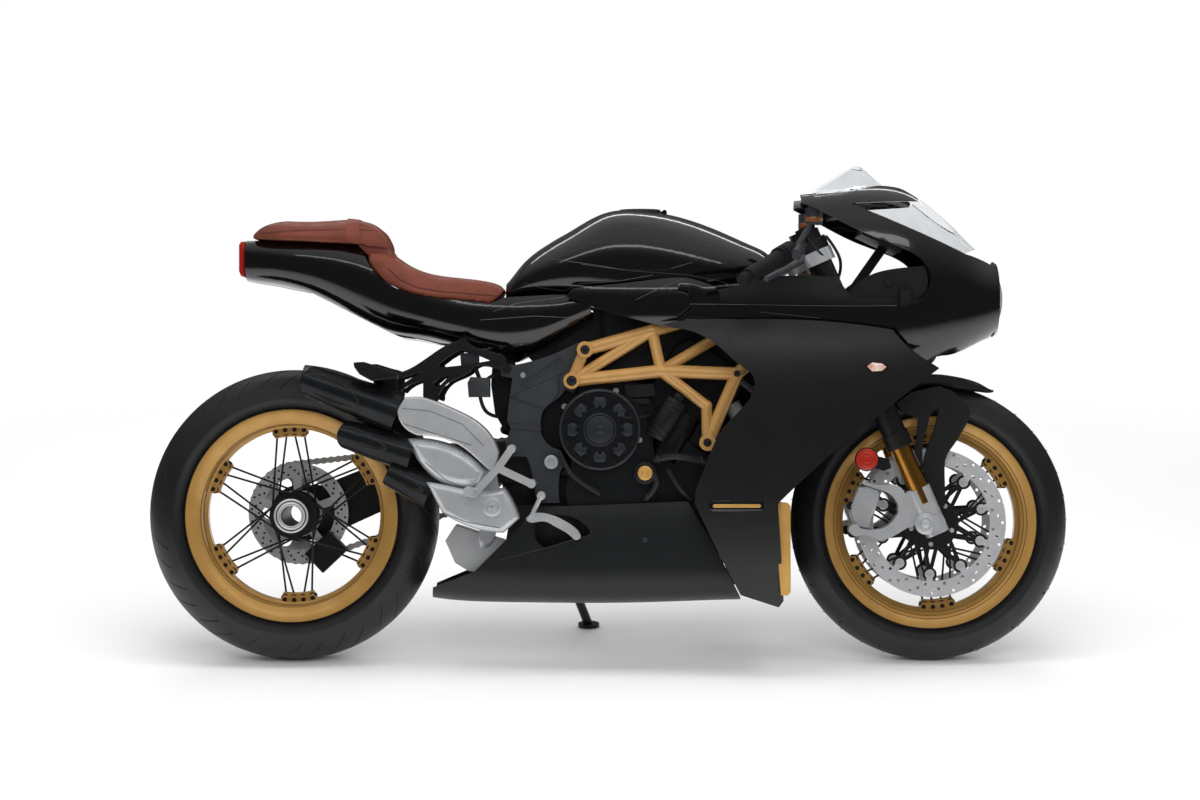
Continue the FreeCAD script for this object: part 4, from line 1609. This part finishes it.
FAIRING_STAY_OUTLINE = [
    (846.0, 298.0), (868.0, 276.0), (900.0, 268.0), (924.0, 266.0), (926.0, 290.0), (910.0, 303.0), (850.0, 305.5),
]


STAY_PANEL_CORNERS = [0, 3, 5, 6]
STAY_SPREAD = 150.0
STAY_PANEL_THICKNESS = 4.0
STAY_BOLT_PIXELS = (888.6, 282.0)
STAY_BOLT_RADIUS = 9.0
STAY_BOLT_PROUD = 8.0
STAY_WING_ENDS = ((905.0, 290.0), (905.0, 316.0))
STAY_WING_WIDTH = 24.0
STAY_WING_REACH = 30.0
STAY_DROP_ENDS = ((866.0, 300.0), (866.0, 336.0))
STAY_DROP_WIDTH = 20.0
STAY_DROP_THICKNESS = 6.0
STAY_ARM_PIXELS = (866.0, 333.0)
STAY_ARM_REACH = 50.0
STAY_CROSS_PIXELS = (905.0, 298.0)
STAY_CROSS_RADIUS = 11.0
STAY_FOOT_ENDS = ((816.0, 296.0), (842.0, 296.0))
STEM_SPAN = (400.0, 700.0)


def fairing_stay():
    """The black inner panels in the nose's side openings and the stay that carries nose and lamp."""
    y = -STAY_SPREAD
    inner = y + STAY_PANEL_THICKNESS / 2
    side = slab(FAIRING_STAY_OUTLINE, y - STAY_PANEL_THICKNESS / 2, inner, STAY_PANEL_CORNERS, y)
    bolt = cylinder_across(at(STAY_BOLT_PIXELS, y), STAY_BOLT_RADIUS, y - STAY_BOLT_PROUD, inner)
    wing = bar_between(at(STAY_WING_ENDS[0], y), at(STAY_WING_ENDS[1], y), STAY_WING_WIDTH, y - STAY_WING_REACH, inner)
    wing = wing.common(form(NOSE_STATIONS, NOSE_HALF_WIDTH, PANEL_THICKNESS + GAP))
    drop = bar_between(at(STAY_DROP_ENDS[0], y), at(STAY_DROP_ENDS[1], y), STAY_DROP_WIDTH,
                       y - STAY_PANEL_THICKNESS / 2, y - STAY_PANEL_THICKNESS / 2 + STAY_DROP_THICKNESS)
    arm = cylinder_across(at(STAY_ARM_PIXELS, y), STAY_RADIUS, y - STAY_ARM_REACH, inner)
    arm = arm.common(form(SIDE_STATIONS, FAIRING_HALF_WIDTH, PANEL_THICKNESS + GAP))
    side = fused([side, wing, drop, arm])
    post = bar_between(at(LAMP_STAY_ENDS[0]), at(LAMP_STAY_ENDS[1]), LAMP_STAY_WIDTH, -LAMP_STAY_HALF_DEPTH,
                       LAMP_STAY_HALF_DEPTH)
    cross = cylinder_across(at(STAY_CROSS_PIXELS), STAY_CROSS_RADIUS, -STAY_SPREAD, STAY_SPREAD)
    foot = bar_between(at(STAY_FOOT_ENDS[0]), at(STAY_FOOT_ENDS[1]), LAMP_STAY_WIDTH, -LAMP_STAY_HALF_DEPTH,
                       LAMP_STAY_HALF_DEPTH)
    whole = fused([side, bolt, mirrored(side), mirrored(bolt), post, cross, foot])
    return whole.cut(rod(on_stem(STEM_SPAN[0]), on_stem(STEM_SPAN[1]), HEAD_TUBE_RADIUS + GAP))


# Feet, brackets and small parts

HANGER_OUTLINE = [(506.0, 444.0), (514.0, 443.0), (517.0, 452.0), (512.0, 464.0), (534.0, 478.0), (537.0, 486.0),
                  (530.0, 489.0), (508.0, 475.0), (480.0, 497.0), (471.0, 497.0), (470.0, 489.0), (500.0, 464.0)]
PEDAL_OUTLINE = [
    (526.5, 518.0), (530.5, 514.6), (546.0, 513.6), (562.0, 519.5), (574.0, 527.0), (579.5, 533.0), (580.5, 537.5),
    (576.5, 540.0), (571.5, 537.0), (566.0, 532.5), (556.0, 527.0), (544.0, 521.4), (532.0, 522.6), (528.0, 521.6),
]
PEDAL_CORNERS = []
PEDAL_SPREAD = 64.0
PEDAL_THICKNESS = 9.0
PEDAL_PIVOT_PIXELS = (541.0, 496.0)
PEDAL_HINGE_PIXELS = (530.5, 518.4)
PEDAL_TOE_PIXELS = (576.0, 536.0)
PEDAL_PIVOT_RADIUS = 9.0
PEDAL_LINK_RADIUS = 5.0
PEDAL_LINK_BITE = 1.5
PEDAL_TOE_RADIUS = 7.0
PEDAL_TOE_LENGTH = 30.0


HANGER_CORNERS = [0, 2, 3, 5, 6, 7, 9, 11]
HANGER_PLATE_THICKNESS = 5.0
STUB_PIXELS = (505.0, 468.0)
STUB_RADIUS = 12.0
STUB_LENGTH = 34.0
PEG_ARM_PIXELS = (476.0, 493.0)
PEG_ARM_WIDTH = 18.0
PEG_ARM_THICKNESS = 10.0
PEG_RADIUS = 11.0
LEFT_PEG_DEPTHS = (16.0, 116.0)
LEFT_PEG_TIP_PIXELS = (474.0, 490.0)
BRACKET_PIXELS = {"top": (511.3, 449.0), "knee": (498.0, 468.0), "peg": (474.5, 493.2), "front": (531.4, 483.8)}
BRACKET_WIDTH = 16.0
BRACKET_THICKNESS = 10.0
BRACKET_STUB_RADIUS = 9.0
RIGHT_PEG_RUN = (-10.0, -62.0, 6.0)


def rider_footrests():
    """The right bracket, a forked bar outside the silencers, and the left hanger, each with its peg."""
    y = -PLATE_OUTER - GAP
    hanger = slab(HANGER_OUTLINE, y - HANGER_PLATE_THICKNESS, y, HANGER_CORNERS, y)
    stub = cylinder_across(at(STUB_PIXELS, y), STUB_RADIUS, y - STUB_LENGTH, y)
    arm = bar_between(at(STUB_PIXELS, y), at(PEG_ARM_PIXELS, y), PEG_ARM_WIDTH, y - STUB_LENGTH,
                      y - STUB_LENGTH + PEG_ARM_THICKNESS)
    peg = rod(at(PEG_ARM_PIXELS, y - LEFT_PEG_DEPTHS[0]), at(LEFT_PEG_TIP_PIXELS, y - LEFT_PEG_DEPTHS[1]), PEG_RADIUS)
    left = mirrored(fused([hanger, stub, arm, peg]))
    near = -(SILENCER_INNER + SHELL_DEPTHS[2] + OVERRUN)
    far = near - BRACKET_THICKNESS
    spots = {name: at(pixels, near) for name, pixels in BRACKET_PIXELS.items()}
    pieces = [bar_between(spots[a], spots[b], BRACKET_WIDTH, far, near)
              for a, b in (("top", "knee"), ("knee", "peg"), ("knee", "front"))]
    for name in ("top", "front"):
        pieces.append(cylinder_across(spots[name], BRACKET_STUB_RADIUS, far, y))
        pieces.append(cylinder_across(spots[name], BRACKET_WIDTH / 2, far, near))
    pieces.append(rod(spots["peg"], spots["peg"] + V(*RIGHT_PEG_RUN), PEG_RADIUS))
    return Part.makeCompound([fused(pieces), left])


def foot_controls():
    """The brake pedal on the right and the shift lever on the left, each on a pivot in the frame plate."""
    y = -PLATE_OUTER - PEDAL_SPREAD
    blade = slab(PEDAL_OUTLINE, y - PEDAL_THICKNESS, y, PEDAL_CORNERS)
    hinge = cylinder_across(at(PEDAL_HINGE_PIXELS, y), PEDAL_LINK_RADIUS, y - PEDAL_THICKNESS - RIM_WALL, y + RIM_WALL)
    middle = y + PEDAL_LINK_RADIUS - PEDAL_LINK_BITE
    link = rod(at(PEDAL_PIVOT_PIXELS, middle), at(PEDAL_HINGE_PIXELS, middle), PEDAL_LINK_RADIUS)
    toe = cylinder_across(at(PEDAL_TOE_PIXELS, y), PEDAL_TOE_RADIUS, y - PEDAL_TOE_LENGTH, y)
    pivot = cylinder_across(at(PEDAL_PIVOT_PIXELS, y), PEDAL_PIVOT_RADIUS, y, -PLATE_OUTER - GAP)
    right = fused([blade, hinge, link, toe, pivot])
    return both(right)


HANGER_CASTING_PIXELS = [
    (466.0, 339.0), (457.8, 340.4), (428.0, 357.0), (399.0, 372.6), (386.0, 368.0), (372.6, 367.6), (373.5, 384.0),
    (376.0, 397.0), (381.0, 405.0), (387.0, 411.0), (393.5, 408.0), (397.8, 397.0), (402.6, 390.0), (409.8, 385.0),
    (423.0, 381.0), (423.0, 393.6), (425.5, 401.0), (432.0, 404.5), (438.0, 401.0), (438.6, 396.0), (441.0, 391.0),
    (447.0, 384.0), (459.0, 378.0), (471.0, 370.6), (490.0, 367.0), (501.0, 368.5), (507.0, 364.0), (505.0, 357.0),
    (497.4, 353.4), (482.0, 349.0), (469.0, 343.0),
]
HANGER_CASTING_CORNERS = [0, 3, 5, 7, 9, 14, 15, 19, 23, 28]
HANGER_WINDOWS = [
    [(459.0, 350.4), (447.0, 357.6), (438.6, 364.0), (439.8, 367.6), (465.0, 365.0), (490.0, 360.6), (470.0, 352.0)],
    [(433.0, 383.4), (439.8, 377.6), (450.0, 375.0), (441.0, 384.5), (435.0, 387.0)],
    [(397.0, 379.0), (414.0, 374.0), (424.0, 371.5), (410.0, 379.0), (397.0, 388.0)],
]
HANGER_THICKNESS = 9.0
HANGER_STAND_OFF = 8.0
HANGER_EDGE = 2.5
HANGER_BOSS_PIXELS = [(462.5, 343.0), (432.0, 398.4), (501.5, 361.5)]
HANGER_BOSS_RADIUS = 9.0
HANGER_MOUNT_PIXELS = (507.0, 369.0)
HANGER_MOUNT_RADIUS = 9.0
PILLION_PEG_SPREAD = 46.0
PILLION_PEG_RADIUS = 9.0
PILLION_PEG_PIXELS = ((381.0, 384.0), (376.0, 372.0))
PILLION_PAD_PIXELS = [
    (353.4, 362.4), (363.0, 361.8), (384.6, 368.4), (397.8, 373.8), (396.6, 378.0), (371.4, 381.0), (359.4, 374.4),
    (354.0, 367.0),
]
PILLION_PAD_DEPTHS = (38.0, 84.0)
PILLION_PAD_EDGE = 3.0


def pillion_footrests():
    """On each side the cast hanger, pierced by windows, from the frame plate to the pillion's footrest."""
    near = -PLATE_OUTER - GAP
    y = near - HANGER_STAND_OFF
    casting = slab(HANGER_CASTING_PIXELS, y - HANGER_THICKNESS, y, HANGER_CASTING_CORNERS)
    casting = rounded_edges(casting, y - HANGER_THICKNESS, HANGER_EDGE)
    for window in HANGER_WINDOWS:
        casting = casting.cut(slab(window, y - HANGER_THICKNESS - OVERRUN, y + OVERRUN, None, y - HANGER_THICKNESS))
    bosses = [cylinder_across(at(p, y), HANGER_BOSS_RADIUS, y - HANGER_THICKNESS - PLATE_RELIEF, y)
              for p in HANGER_BOSS_PIXELS]
    bosses.append(cylinder_across(at(HANGER_MOUNT_PIXELS, y), HANGER_MOUNT_RADIUS, y - RIM_WALL, near))
    foot, tip = PILLION_PEG_PIXELS
    peg = rod(at(foot, y), at(tip, y - PILLION_PEG_SPREAD), PILLION_PEG_RADIUS)
    start, end = PILLION_PAD_DEPTHS
    pad = slab(PILLION_PAD_PIXELS, y - end, y - start, None)
    pad = rounded_edges(rounded_edges(pad, y - end, PILLION_PAD_EDGE), y - start, PILLION_PAD_EDGE)
    hanger = fused([casting, peg, pad] + bosses)
    side = -SILENCER_INNER - SHELL_DEPTHS[0]
    can = slab(SHELL_OUTLINES[0], side - GAP, -SILENCER_INNER + GAP, SHELL_CORNERS[0], side)
    return both(biggest(hanger.cut(can).cut(silencer_tip(0, GAP)[0])))


REAR_CALIPER_ANGLES = (-56.0, -52.0)
REAR_CALIPER_REACH = (34.0, 24.0)
REAR_CALIPER_WIDTH = 74.0
REAR_CALIPER_DEPTH = 26.0
REAR_CALIPER_BORE = 10.0


def rear_caliper():
    """The rear caliper over its disc, bolted to the swingarm's hub ring."""
    inner = around(REAR_AXLE, REAR_DISC_RADIUS - REAR_CALIPER_REACH[0], REAR_CALIPER_ANGLES[0])
    outer = around(REAR_AXLE, REAR_DISC_RADIUS + REAR_CALIPER_REACH[1], REAR_CALIPER_ANGLES[1])
    block = bar_between(inner, outer, REAR_CALIPER_WIDTH, REAR_DISC_PLACE - REAR_CALIPER_DEPTH,
                        SWINGARM_BEAM_INNER - GAP)
    slot = annulus(REAR_AXLE, REAR_DISC_RADIUS + OVERRUN, REAR_CALIPER_BORE,
                   REAR_DISC_PLACE - DISC_THICKNESS / 2 - OVERRUN, REAR_DISC_PLACE + DISC_THICKNESS / 2 + OVERRUN)
    ring = cylinder_across(REAR_AXLE, HUB_CARRIER_RADIUS + GAP, -FAR, FAR)
    return biggest(block.cut(slot).cut(ring))


HUGGER_CLEARANCE = 9.0
HUGGER_HALF_WIDTH = 92.0
HUGGER_DROP = 44.0
HUGGER_THICKNESS = 3.0
HUGGER_START_DEGREES = 86.0
HUGGER_SPAN_DEGREES = 74.0
HUGGER_BRACKET_ENDS = ((-444.0, 490.0), (-430.0, 436.0))
HUGGER_BRACKET_WIDTH = 26.0


def rear_hugger():
    """A thin guard over the tyre's front upper part, held by the swingarm's beam."""
    inner = REAR_TYRE_RADIUS + HUGGER_CLEARANCE
    half, wall, edge = HUGGER_HALF_WIDTH, HUGGER_THICKNESS, inner - HUGGER_DROP

    def spot(y, r):
        return V(REAR_AXLE.x, y, REAR_AXLE.z + r)

    edges = [
        Part.Arc(spot(-half, edge), spot(0, inner + wall), spot(half, edge)).toShape(),
        Part.makeLine(spot(half, edge), spot(half - wall, edge)),
        Part.Arc(spot(half - wall, edge), spot(0, inner), spot(wall - half, edge)).toShape(),
        Part.makeLine(spot(wall - half, edge), spot(-half, edge)),
    ]
    face = Part.Face(Part.Wire(Part.__sortEdges__(edges)))
    face.rotate(REAR_AXLE, ACROSS, 90 - HUGGER_START_DEGREES)
    band = face.revolve(REAR_AXLE, ACROSS, HUGGER_SPAN_DEGREES)
    (x_top, z_top), (x_foot, z_foot) = HUGGER_BRACKET_ENDS
    bracket = bar_between(V(x_top, 0, z_top), V(x_foot, 0, z_foot), HUGGER_BRACKET_WIDTH, half - wall + RUNNING_GAP,
                          SWINGARM_BEAM_INNER - GAP)
    return fused([band, bracket])


# Parking: the bike leans on its stand, and both tyres and the foot touch the ground

def park_matrix():
    """The lean, and the slight pitch that brings two tyres of unlike crowns down together."""
    rise_front = FRONT_CROWN_RADIUS * (1 - math.cos(LEAN))
    rise_rear = REAR_CROWN_RADIUS * (1 - math.cos(LEAN))
    pitch = (rise_rear - rise_front) / WHEELBASE
    turn = FreeCAD.Matrix()
    turn.rotateX(-LEAN)
    turn.rotateY(pitch)
    turn.move(V(0, 0, (rise_front + rise_rear) / 2))
    return turn


PARK = park_matrix()


def parked(shape):
    return moved(shape, PARK)


def moved(shape, matrix):
    copy = shape.copy()
    copy.Placement = FreeCAD.Placement(matrix).multiply(copy.Placement)
    return copy


STAND_FOLDED = (-1.0, 0.06, 0.0)
STAND_BOLT_RADIUS = 6.5
STAND_BOLT_REACH = (32.0, 22.0)
STAND_HEAD_RADIUS = 11.0
STAND_HEAD_SPAN = (17.0, 24.0)
KNUCKLE_STAND_RADIUS = 16.0
KNUCKLE_STAND_HALF_LENGTH = 13.0
STAND_TAB_SHARE = 0.72
STAND_TAB_RUN = (-12.0, 36.0, 8.0)
STAND_TAB_RADIUS = 5.0
MOUNT_TOP_PIXELS = (556.0, 503.0)
MOUNT_PLATE_WIDTH = 34.0
MOUNT_EYE_RADIUS = 20.0


def stand_points():
    """Pivot, foot and the deployed and folded directions of the stand, in the parked frame."""
    spot = at(STAND_PIVOT_PIXELS)
    pivot = PARK.multVec(V(spot.x, STAND_PIVOT_SPREAD, spot.z))
    foot = V(pivot.x + STAND_FOOT_FORWARD, STAND_FOOT_SPREAD, STAND_FOOT_THICKNESS / 2)
    down = (foot - pivot).normalize()
    back = PARK.multVec(V(*STAND_FOLDED)) - PARK.multVec(V(0, 0, 0))
    back.normalize()
    axis = down.cross(back).normalize()
    return pivot, foot, axis, math.degrees(down.getAngle(back))


def side_stand():
    """The leg with its pivot knuckle, foot and a tab for the rider's boot."""
    pivot, foot, axis, swing = stand_points()
    leg = rod(pivot, foot, STAND_LEG_RADIUS)
    reach = axis * KNUCKLE_STAND_HALF_LENGTH
    knuckle = rod(pivot - reach, pivot + reach, KNUCKLE_STAND_RADIUS)
    sole = Part.makeCylinder(STAND_FOOT_RADIUS, STAND_FOOT_THICKNESS, V(foot.x, foot.y, 0))
    tab_at = pivot + (foot - pivot) * STAND_TAB_SHARE
    tab = rod(tab_at, tab_at + V(*STAND_TAB_RUN), STAND_TAB_RADIUS)
    floor = Part.makeBox(FAR, FAR, FAR, V(-FAR / 2, -FAR / 2, -FAR))
    bore = rod(pivot - 3 * reach, pivot + 3 * reach, STAND_BOLT_RADIUS + RUNNING_GAP)
    return fused([leg, knuckle, sole, tab]).cut(floor).cut(bore)


def stand_mount():
    """The bracket under the frame plate and the stand's pivot bolt, in the parked frame."""
    pivot, foot, axis, swing = stand_points()
    spot = at(STAND_PIVOT_PIXELS)
    top = at(MOUNT_TOP_PIXELS, -PLATE_OUTER) - V(0, 0, GAP)
    outer = PLATE_OUTER - OVERRUN
    plate = bar_between(V(spot.x, 0, top.z), V(spot.x, 0, spot.z), MOUNT_PLATE_WIDTH, PLATE_INNER + 2 * GAP, outer)
    eye = cylinder_across(spot, MOUNT_EYE_RADIUS, PLATE_INNER, outer)
    base = parked(fused([plate, eye]))
    bolt = rod(pivot - axis * STAND_BOLT_REACH[0], pivot + axis * STAND_BOLT_REACH[1], STAND_BOLT_RADIUS)
    head = rod(pivot + axis * STAND_HEAD_SPAN[0], pivot + axis * STAND_HEAD_SPAN[1], STAND_HEAD_RADIUS)
    return fused([base, bolt, head])


NODES = {
    "front_tyre": lambda: tyre(FRONT_AXLE, FRONT_TYRE_RADIUS, FRONT_TYRE_WIDTH, FRONT_CROWN_RADIUS, FRONT_RIM_WIDTH),
    "front_rim": lambda: rim(FRONT_AXLE, FRONT_RIM_WIDTH, FRONT_PAD_PHASE),
    "front_spokes": lambda: spokes_and_hub(FRONT_AXLE, FRONT_RIM_WIDTH, FRONT_HUB_HALF_WIDTH, FRONT_PAD_PHASE,
                                           AXLE_RADIUS + RUNNING_GAP),
    "front_discs": lambda: Part.makeCompound([front_disc(-1), front_disc(1)]),
    "front_disc_carriers": lambda: Part.makeCompound([disc_carrier(-1), disc_carrier(1)]),
    "rear_tyre": lambda: tyre(REAR_AXLE, REAR_TYRE_RADIUS, REAR_TYRE_WIDTH, REAR_CROWN_RADIUS, REAR_RIM_WIDTH),
    "rear_rim": lambda: rim(REAR_AXLE, REAR_RIM_WIDTH, REAR_PAD_PHASE),
    "rear_spokes": lambda: rear_hub(),
    "rear_disc": lambda: rear_disc(),
    "rear_sprocket": lambda: rear_sprocket(),
    "fork_outer_tubes": fork_outer_tubes,
    "fork_inner_tubes": fork_inner_tubes,
    "axle_lugs": axle_lugs,
    "yokes": yokes,
    "handlebars": handlebars,
    "front_calipers": lambda: both(caliper()),
    "front_mudguard": front_mudguard,
    "control_levers": control_levers,
    "reflectors": reflectors,
    "trellis_frame": trellis_frame,
    "frame_plates": frame_plates,
    "swingarm": swingarm,
    "shock_absorber": shock_absorber,
    "crankcase": crankcase,
    "cylinder_block": cylinder_block,
    "cylinder_head": cylinder_head,
    "engine_covers": engine_covers,
    "starter_motor": starter_body,
    "airbox": airbox,
    "radiator": radiator,
    "exhaust_headers": exhaust_headers,
    "silencer_shell": silencer_shell,
    "silencer_tips": silencer_tips,
    "nose_fairing": nose_fairing,
    "brow": brow,
    "windscreen": windscreen,
    "headlight": headlight,
    "side_fairings": lambda: both(side_fairing()),
    "fairing_trims": fairing_trims,
    "side_panels": side_panels,
    "belly_pan": belly_pan,
    "fuel_tank": fuel_tank,
    "fuel_cap": fuel_cap,
    "tail_body": tail_body,
    "tail_light": tail_light,
    "rider_seat": rider_seat,
    "pillion_pad": pillion_pad,
    "instrument_panel": instrument_panel,
    "fairing_stay": fairing_stay,
    "rider_footrests": rider_footrests,
    "foot_controls": foot_controls,
    "pillion_footrests": pillion_footrests,
    "rear_caliper": rear_caliper,
    "rear_hugger": rear_hugger,
    "drive_chain": drive_chain,
}
PARKED_NODES = {"side_stand": side_stand, "stand_mount": stand_mount}


REAR_NUT_RADIUS = 39.0
REAR_NUT_LENGTH = 22.0
DISC_CENTRE_RADIUS = 52.0
DISC_NECK_RADIUS = 44.0
DISC_ARM_COUNT = 5
DISC_ARM_PHASE = 20.0
DISC_ARM_SPAN = (46.0, 24.0)
DISC_ARM_WIDTH = 18.0
SPROCKET_HOLE_COUNT = 6
SPROCKET_HOLE_CIRCLE = 70.0
SPROCKET_HOLE_RADIUS = 15.0
SPROCKET_NUT_RADIUS = 46.0
SPROCKET_NUT_LENGTH = 13.0


def rear_hub():
    """Spokes, the wide rear hub, and the hollow spindle that runs left through the swingarm's ring."""
    hub = spokes_and_hub(REAR_AXLE, REAR_RIM_WIDTH, REAR_HUB_HALF_WIDTH, REAR_PAD_PHASE, REAR_AXLE_BORE_RADIUS)
    spindle = annulus(REAR_AXLE, REAR_SPINDLE_RADIUS, REAR_AXLE_BORE_RADIUS, REAR_HUB_HALF_WIDTH - OVERRUN,
                      CHAIN_LINE + SPROCKET_THICKNESS)
    nut = annulus(REAR_AXLE, REAR_NUT_RADIUS, REAR_AXLE_BORE_RADIUS, -REAR_HUB_HALF_WIDTH - REAR_NUT_LENGTH,
                  2 * RUNNING_GAP - REAR_HUB_HALF_WIDTH)
    return fused([hub, spindle, nut])


def rear_disc():
    """The rear disc: a band on five arms, with a neck that seats it on the hub."""
    low, high = REAR_DISC_PLACE - DISC_THICKNESS / 2, REAR_DISC_PLACE + DISC_THICKNESS / 2
    bore = REAR_SPINDLE_RADIUS + GAP
    pieces = [annulus(REAR_AXLE, REAR_DISC_RADIUS, REAR_DISC_RADIUS - REAR_DISC_BAND, low, high),
              annulus(REAR_AXLE, DISC_CENTRE_RADIUS, bore, low, high),
              annulus(REAR_AXLE, DISC_NECK_RADIUS, bore, REAR_HUB_HALF_WIDTH + GAP, high)]
    for n in range(DISC_ARM_COUNT):
        angle = DISC_ARM_PHASE + n * 360 / DISC_ARM_COUNT
        start = around(REAR_AXLE, DISC_ARM_SPAN[0], angle)
        end = around(REAR_AXLE, REAR_DISC_RADIUS - DISC_ARM_SPAN[1], angle)
        pieces.append(bar_between(start, end, DISC_ARM_WIDTH, low, high))
    return fused(pieces)


def rear_sprocket():
    """The rear sprocket with its ring of holes, and the nut that holds it on the spindle."""
    plate = sprocket(REAR_AXLE, REAR_SPROCKET_TEETH, CHAIN_LINE, REAR_SPINDLE_RADIUS + GAP,
                     CHAIN_HEIGHT / 2 + SPROCKET_TOOTH_GAP)
    for n in range(SPROCKET_HOLE_COUNT):
        spot = around(REAR_AXLE, SPROCKET_HOLE_CIRCLE, n * 360 / SPROCKET_HOLE_COUNT)
        plate = plate.cut(cylinder_across(spot, SPROCKET_HOLE_RADIUS, -FAR, FAR))
    face = CHAIN_LINE + SPROCKET_THICKNESS / 2
    return plate.fuse(annulus(REAR_AXLE, SPROCKET_NUT_RADIUS, REAR_SPINDLE_RADIUS + GAP, face,
                              face + SPROCKET_NUT_LENGTH))


def main():
    os.makedirs("parts", exist_ok=True)
    shapes = {}
    for name, make in NODES.items():
        shapes[name] = parked(make())
    for name, make in PARKED_NODES.items():
        shapes[name] = make()
    box = FreeCAD.BoundBox()
    for shape in shapes.values():
        box.add(shape.BoundBox)
    shift = V(-box.Center.x, -box.Center.y, 0)
    for name, shape in shapes.items():
        shape.translate(shift)
        shape.exportStep("parts/" + name + ".step")
        spot = shape.BoundBox
        print(name, shape.isValid(), len(shape.Solids), round(spot.XMin), round(spot.XMax), round(spot.YMin),
              round(spot.YMax), round(spot.ZMin), round(spot.ZMax))
    describe(shift)


def describe(shift):
    """Print the joints' places and axes in the parked frame."""
    turn = FreeCAD.Placement(PARK).Rotation
    pivot, foot, axis, swing = stand_points()
    spot, up = cap_frame()
    hinge = hinge_centre()
    places = {
        "steering": (PARK.multVec(on_stem(HEAD_JOIN_LOW)) + shift, turn.multVec(STEER_UP)),
        "front_wheel": (PARK.multVec(FRONT_AXLE) + shift, turn.multVec(ACROSS)),
        "rear_wheel": (PARK.multVec(REAR_AXLE) + shift, turn.multVec(ACROSS)),
        "side_stand": (pivot + shift, axis),
        "fuel_cap": (PARK.multVec(hinge) + shift, turn.multVec(ACROSS)),
        "stand_foot": (V(foot.x, foot.y, 0) + shift, V(0, 0, -1)),
    }
    for name, (point, direction) in places.items():
        print("place", name, [round(v, 4) for v in point], [round(v, 6) for v in direction])
    print("place swing", round(swing, 3))


if __name__ == "__main__":
    main()
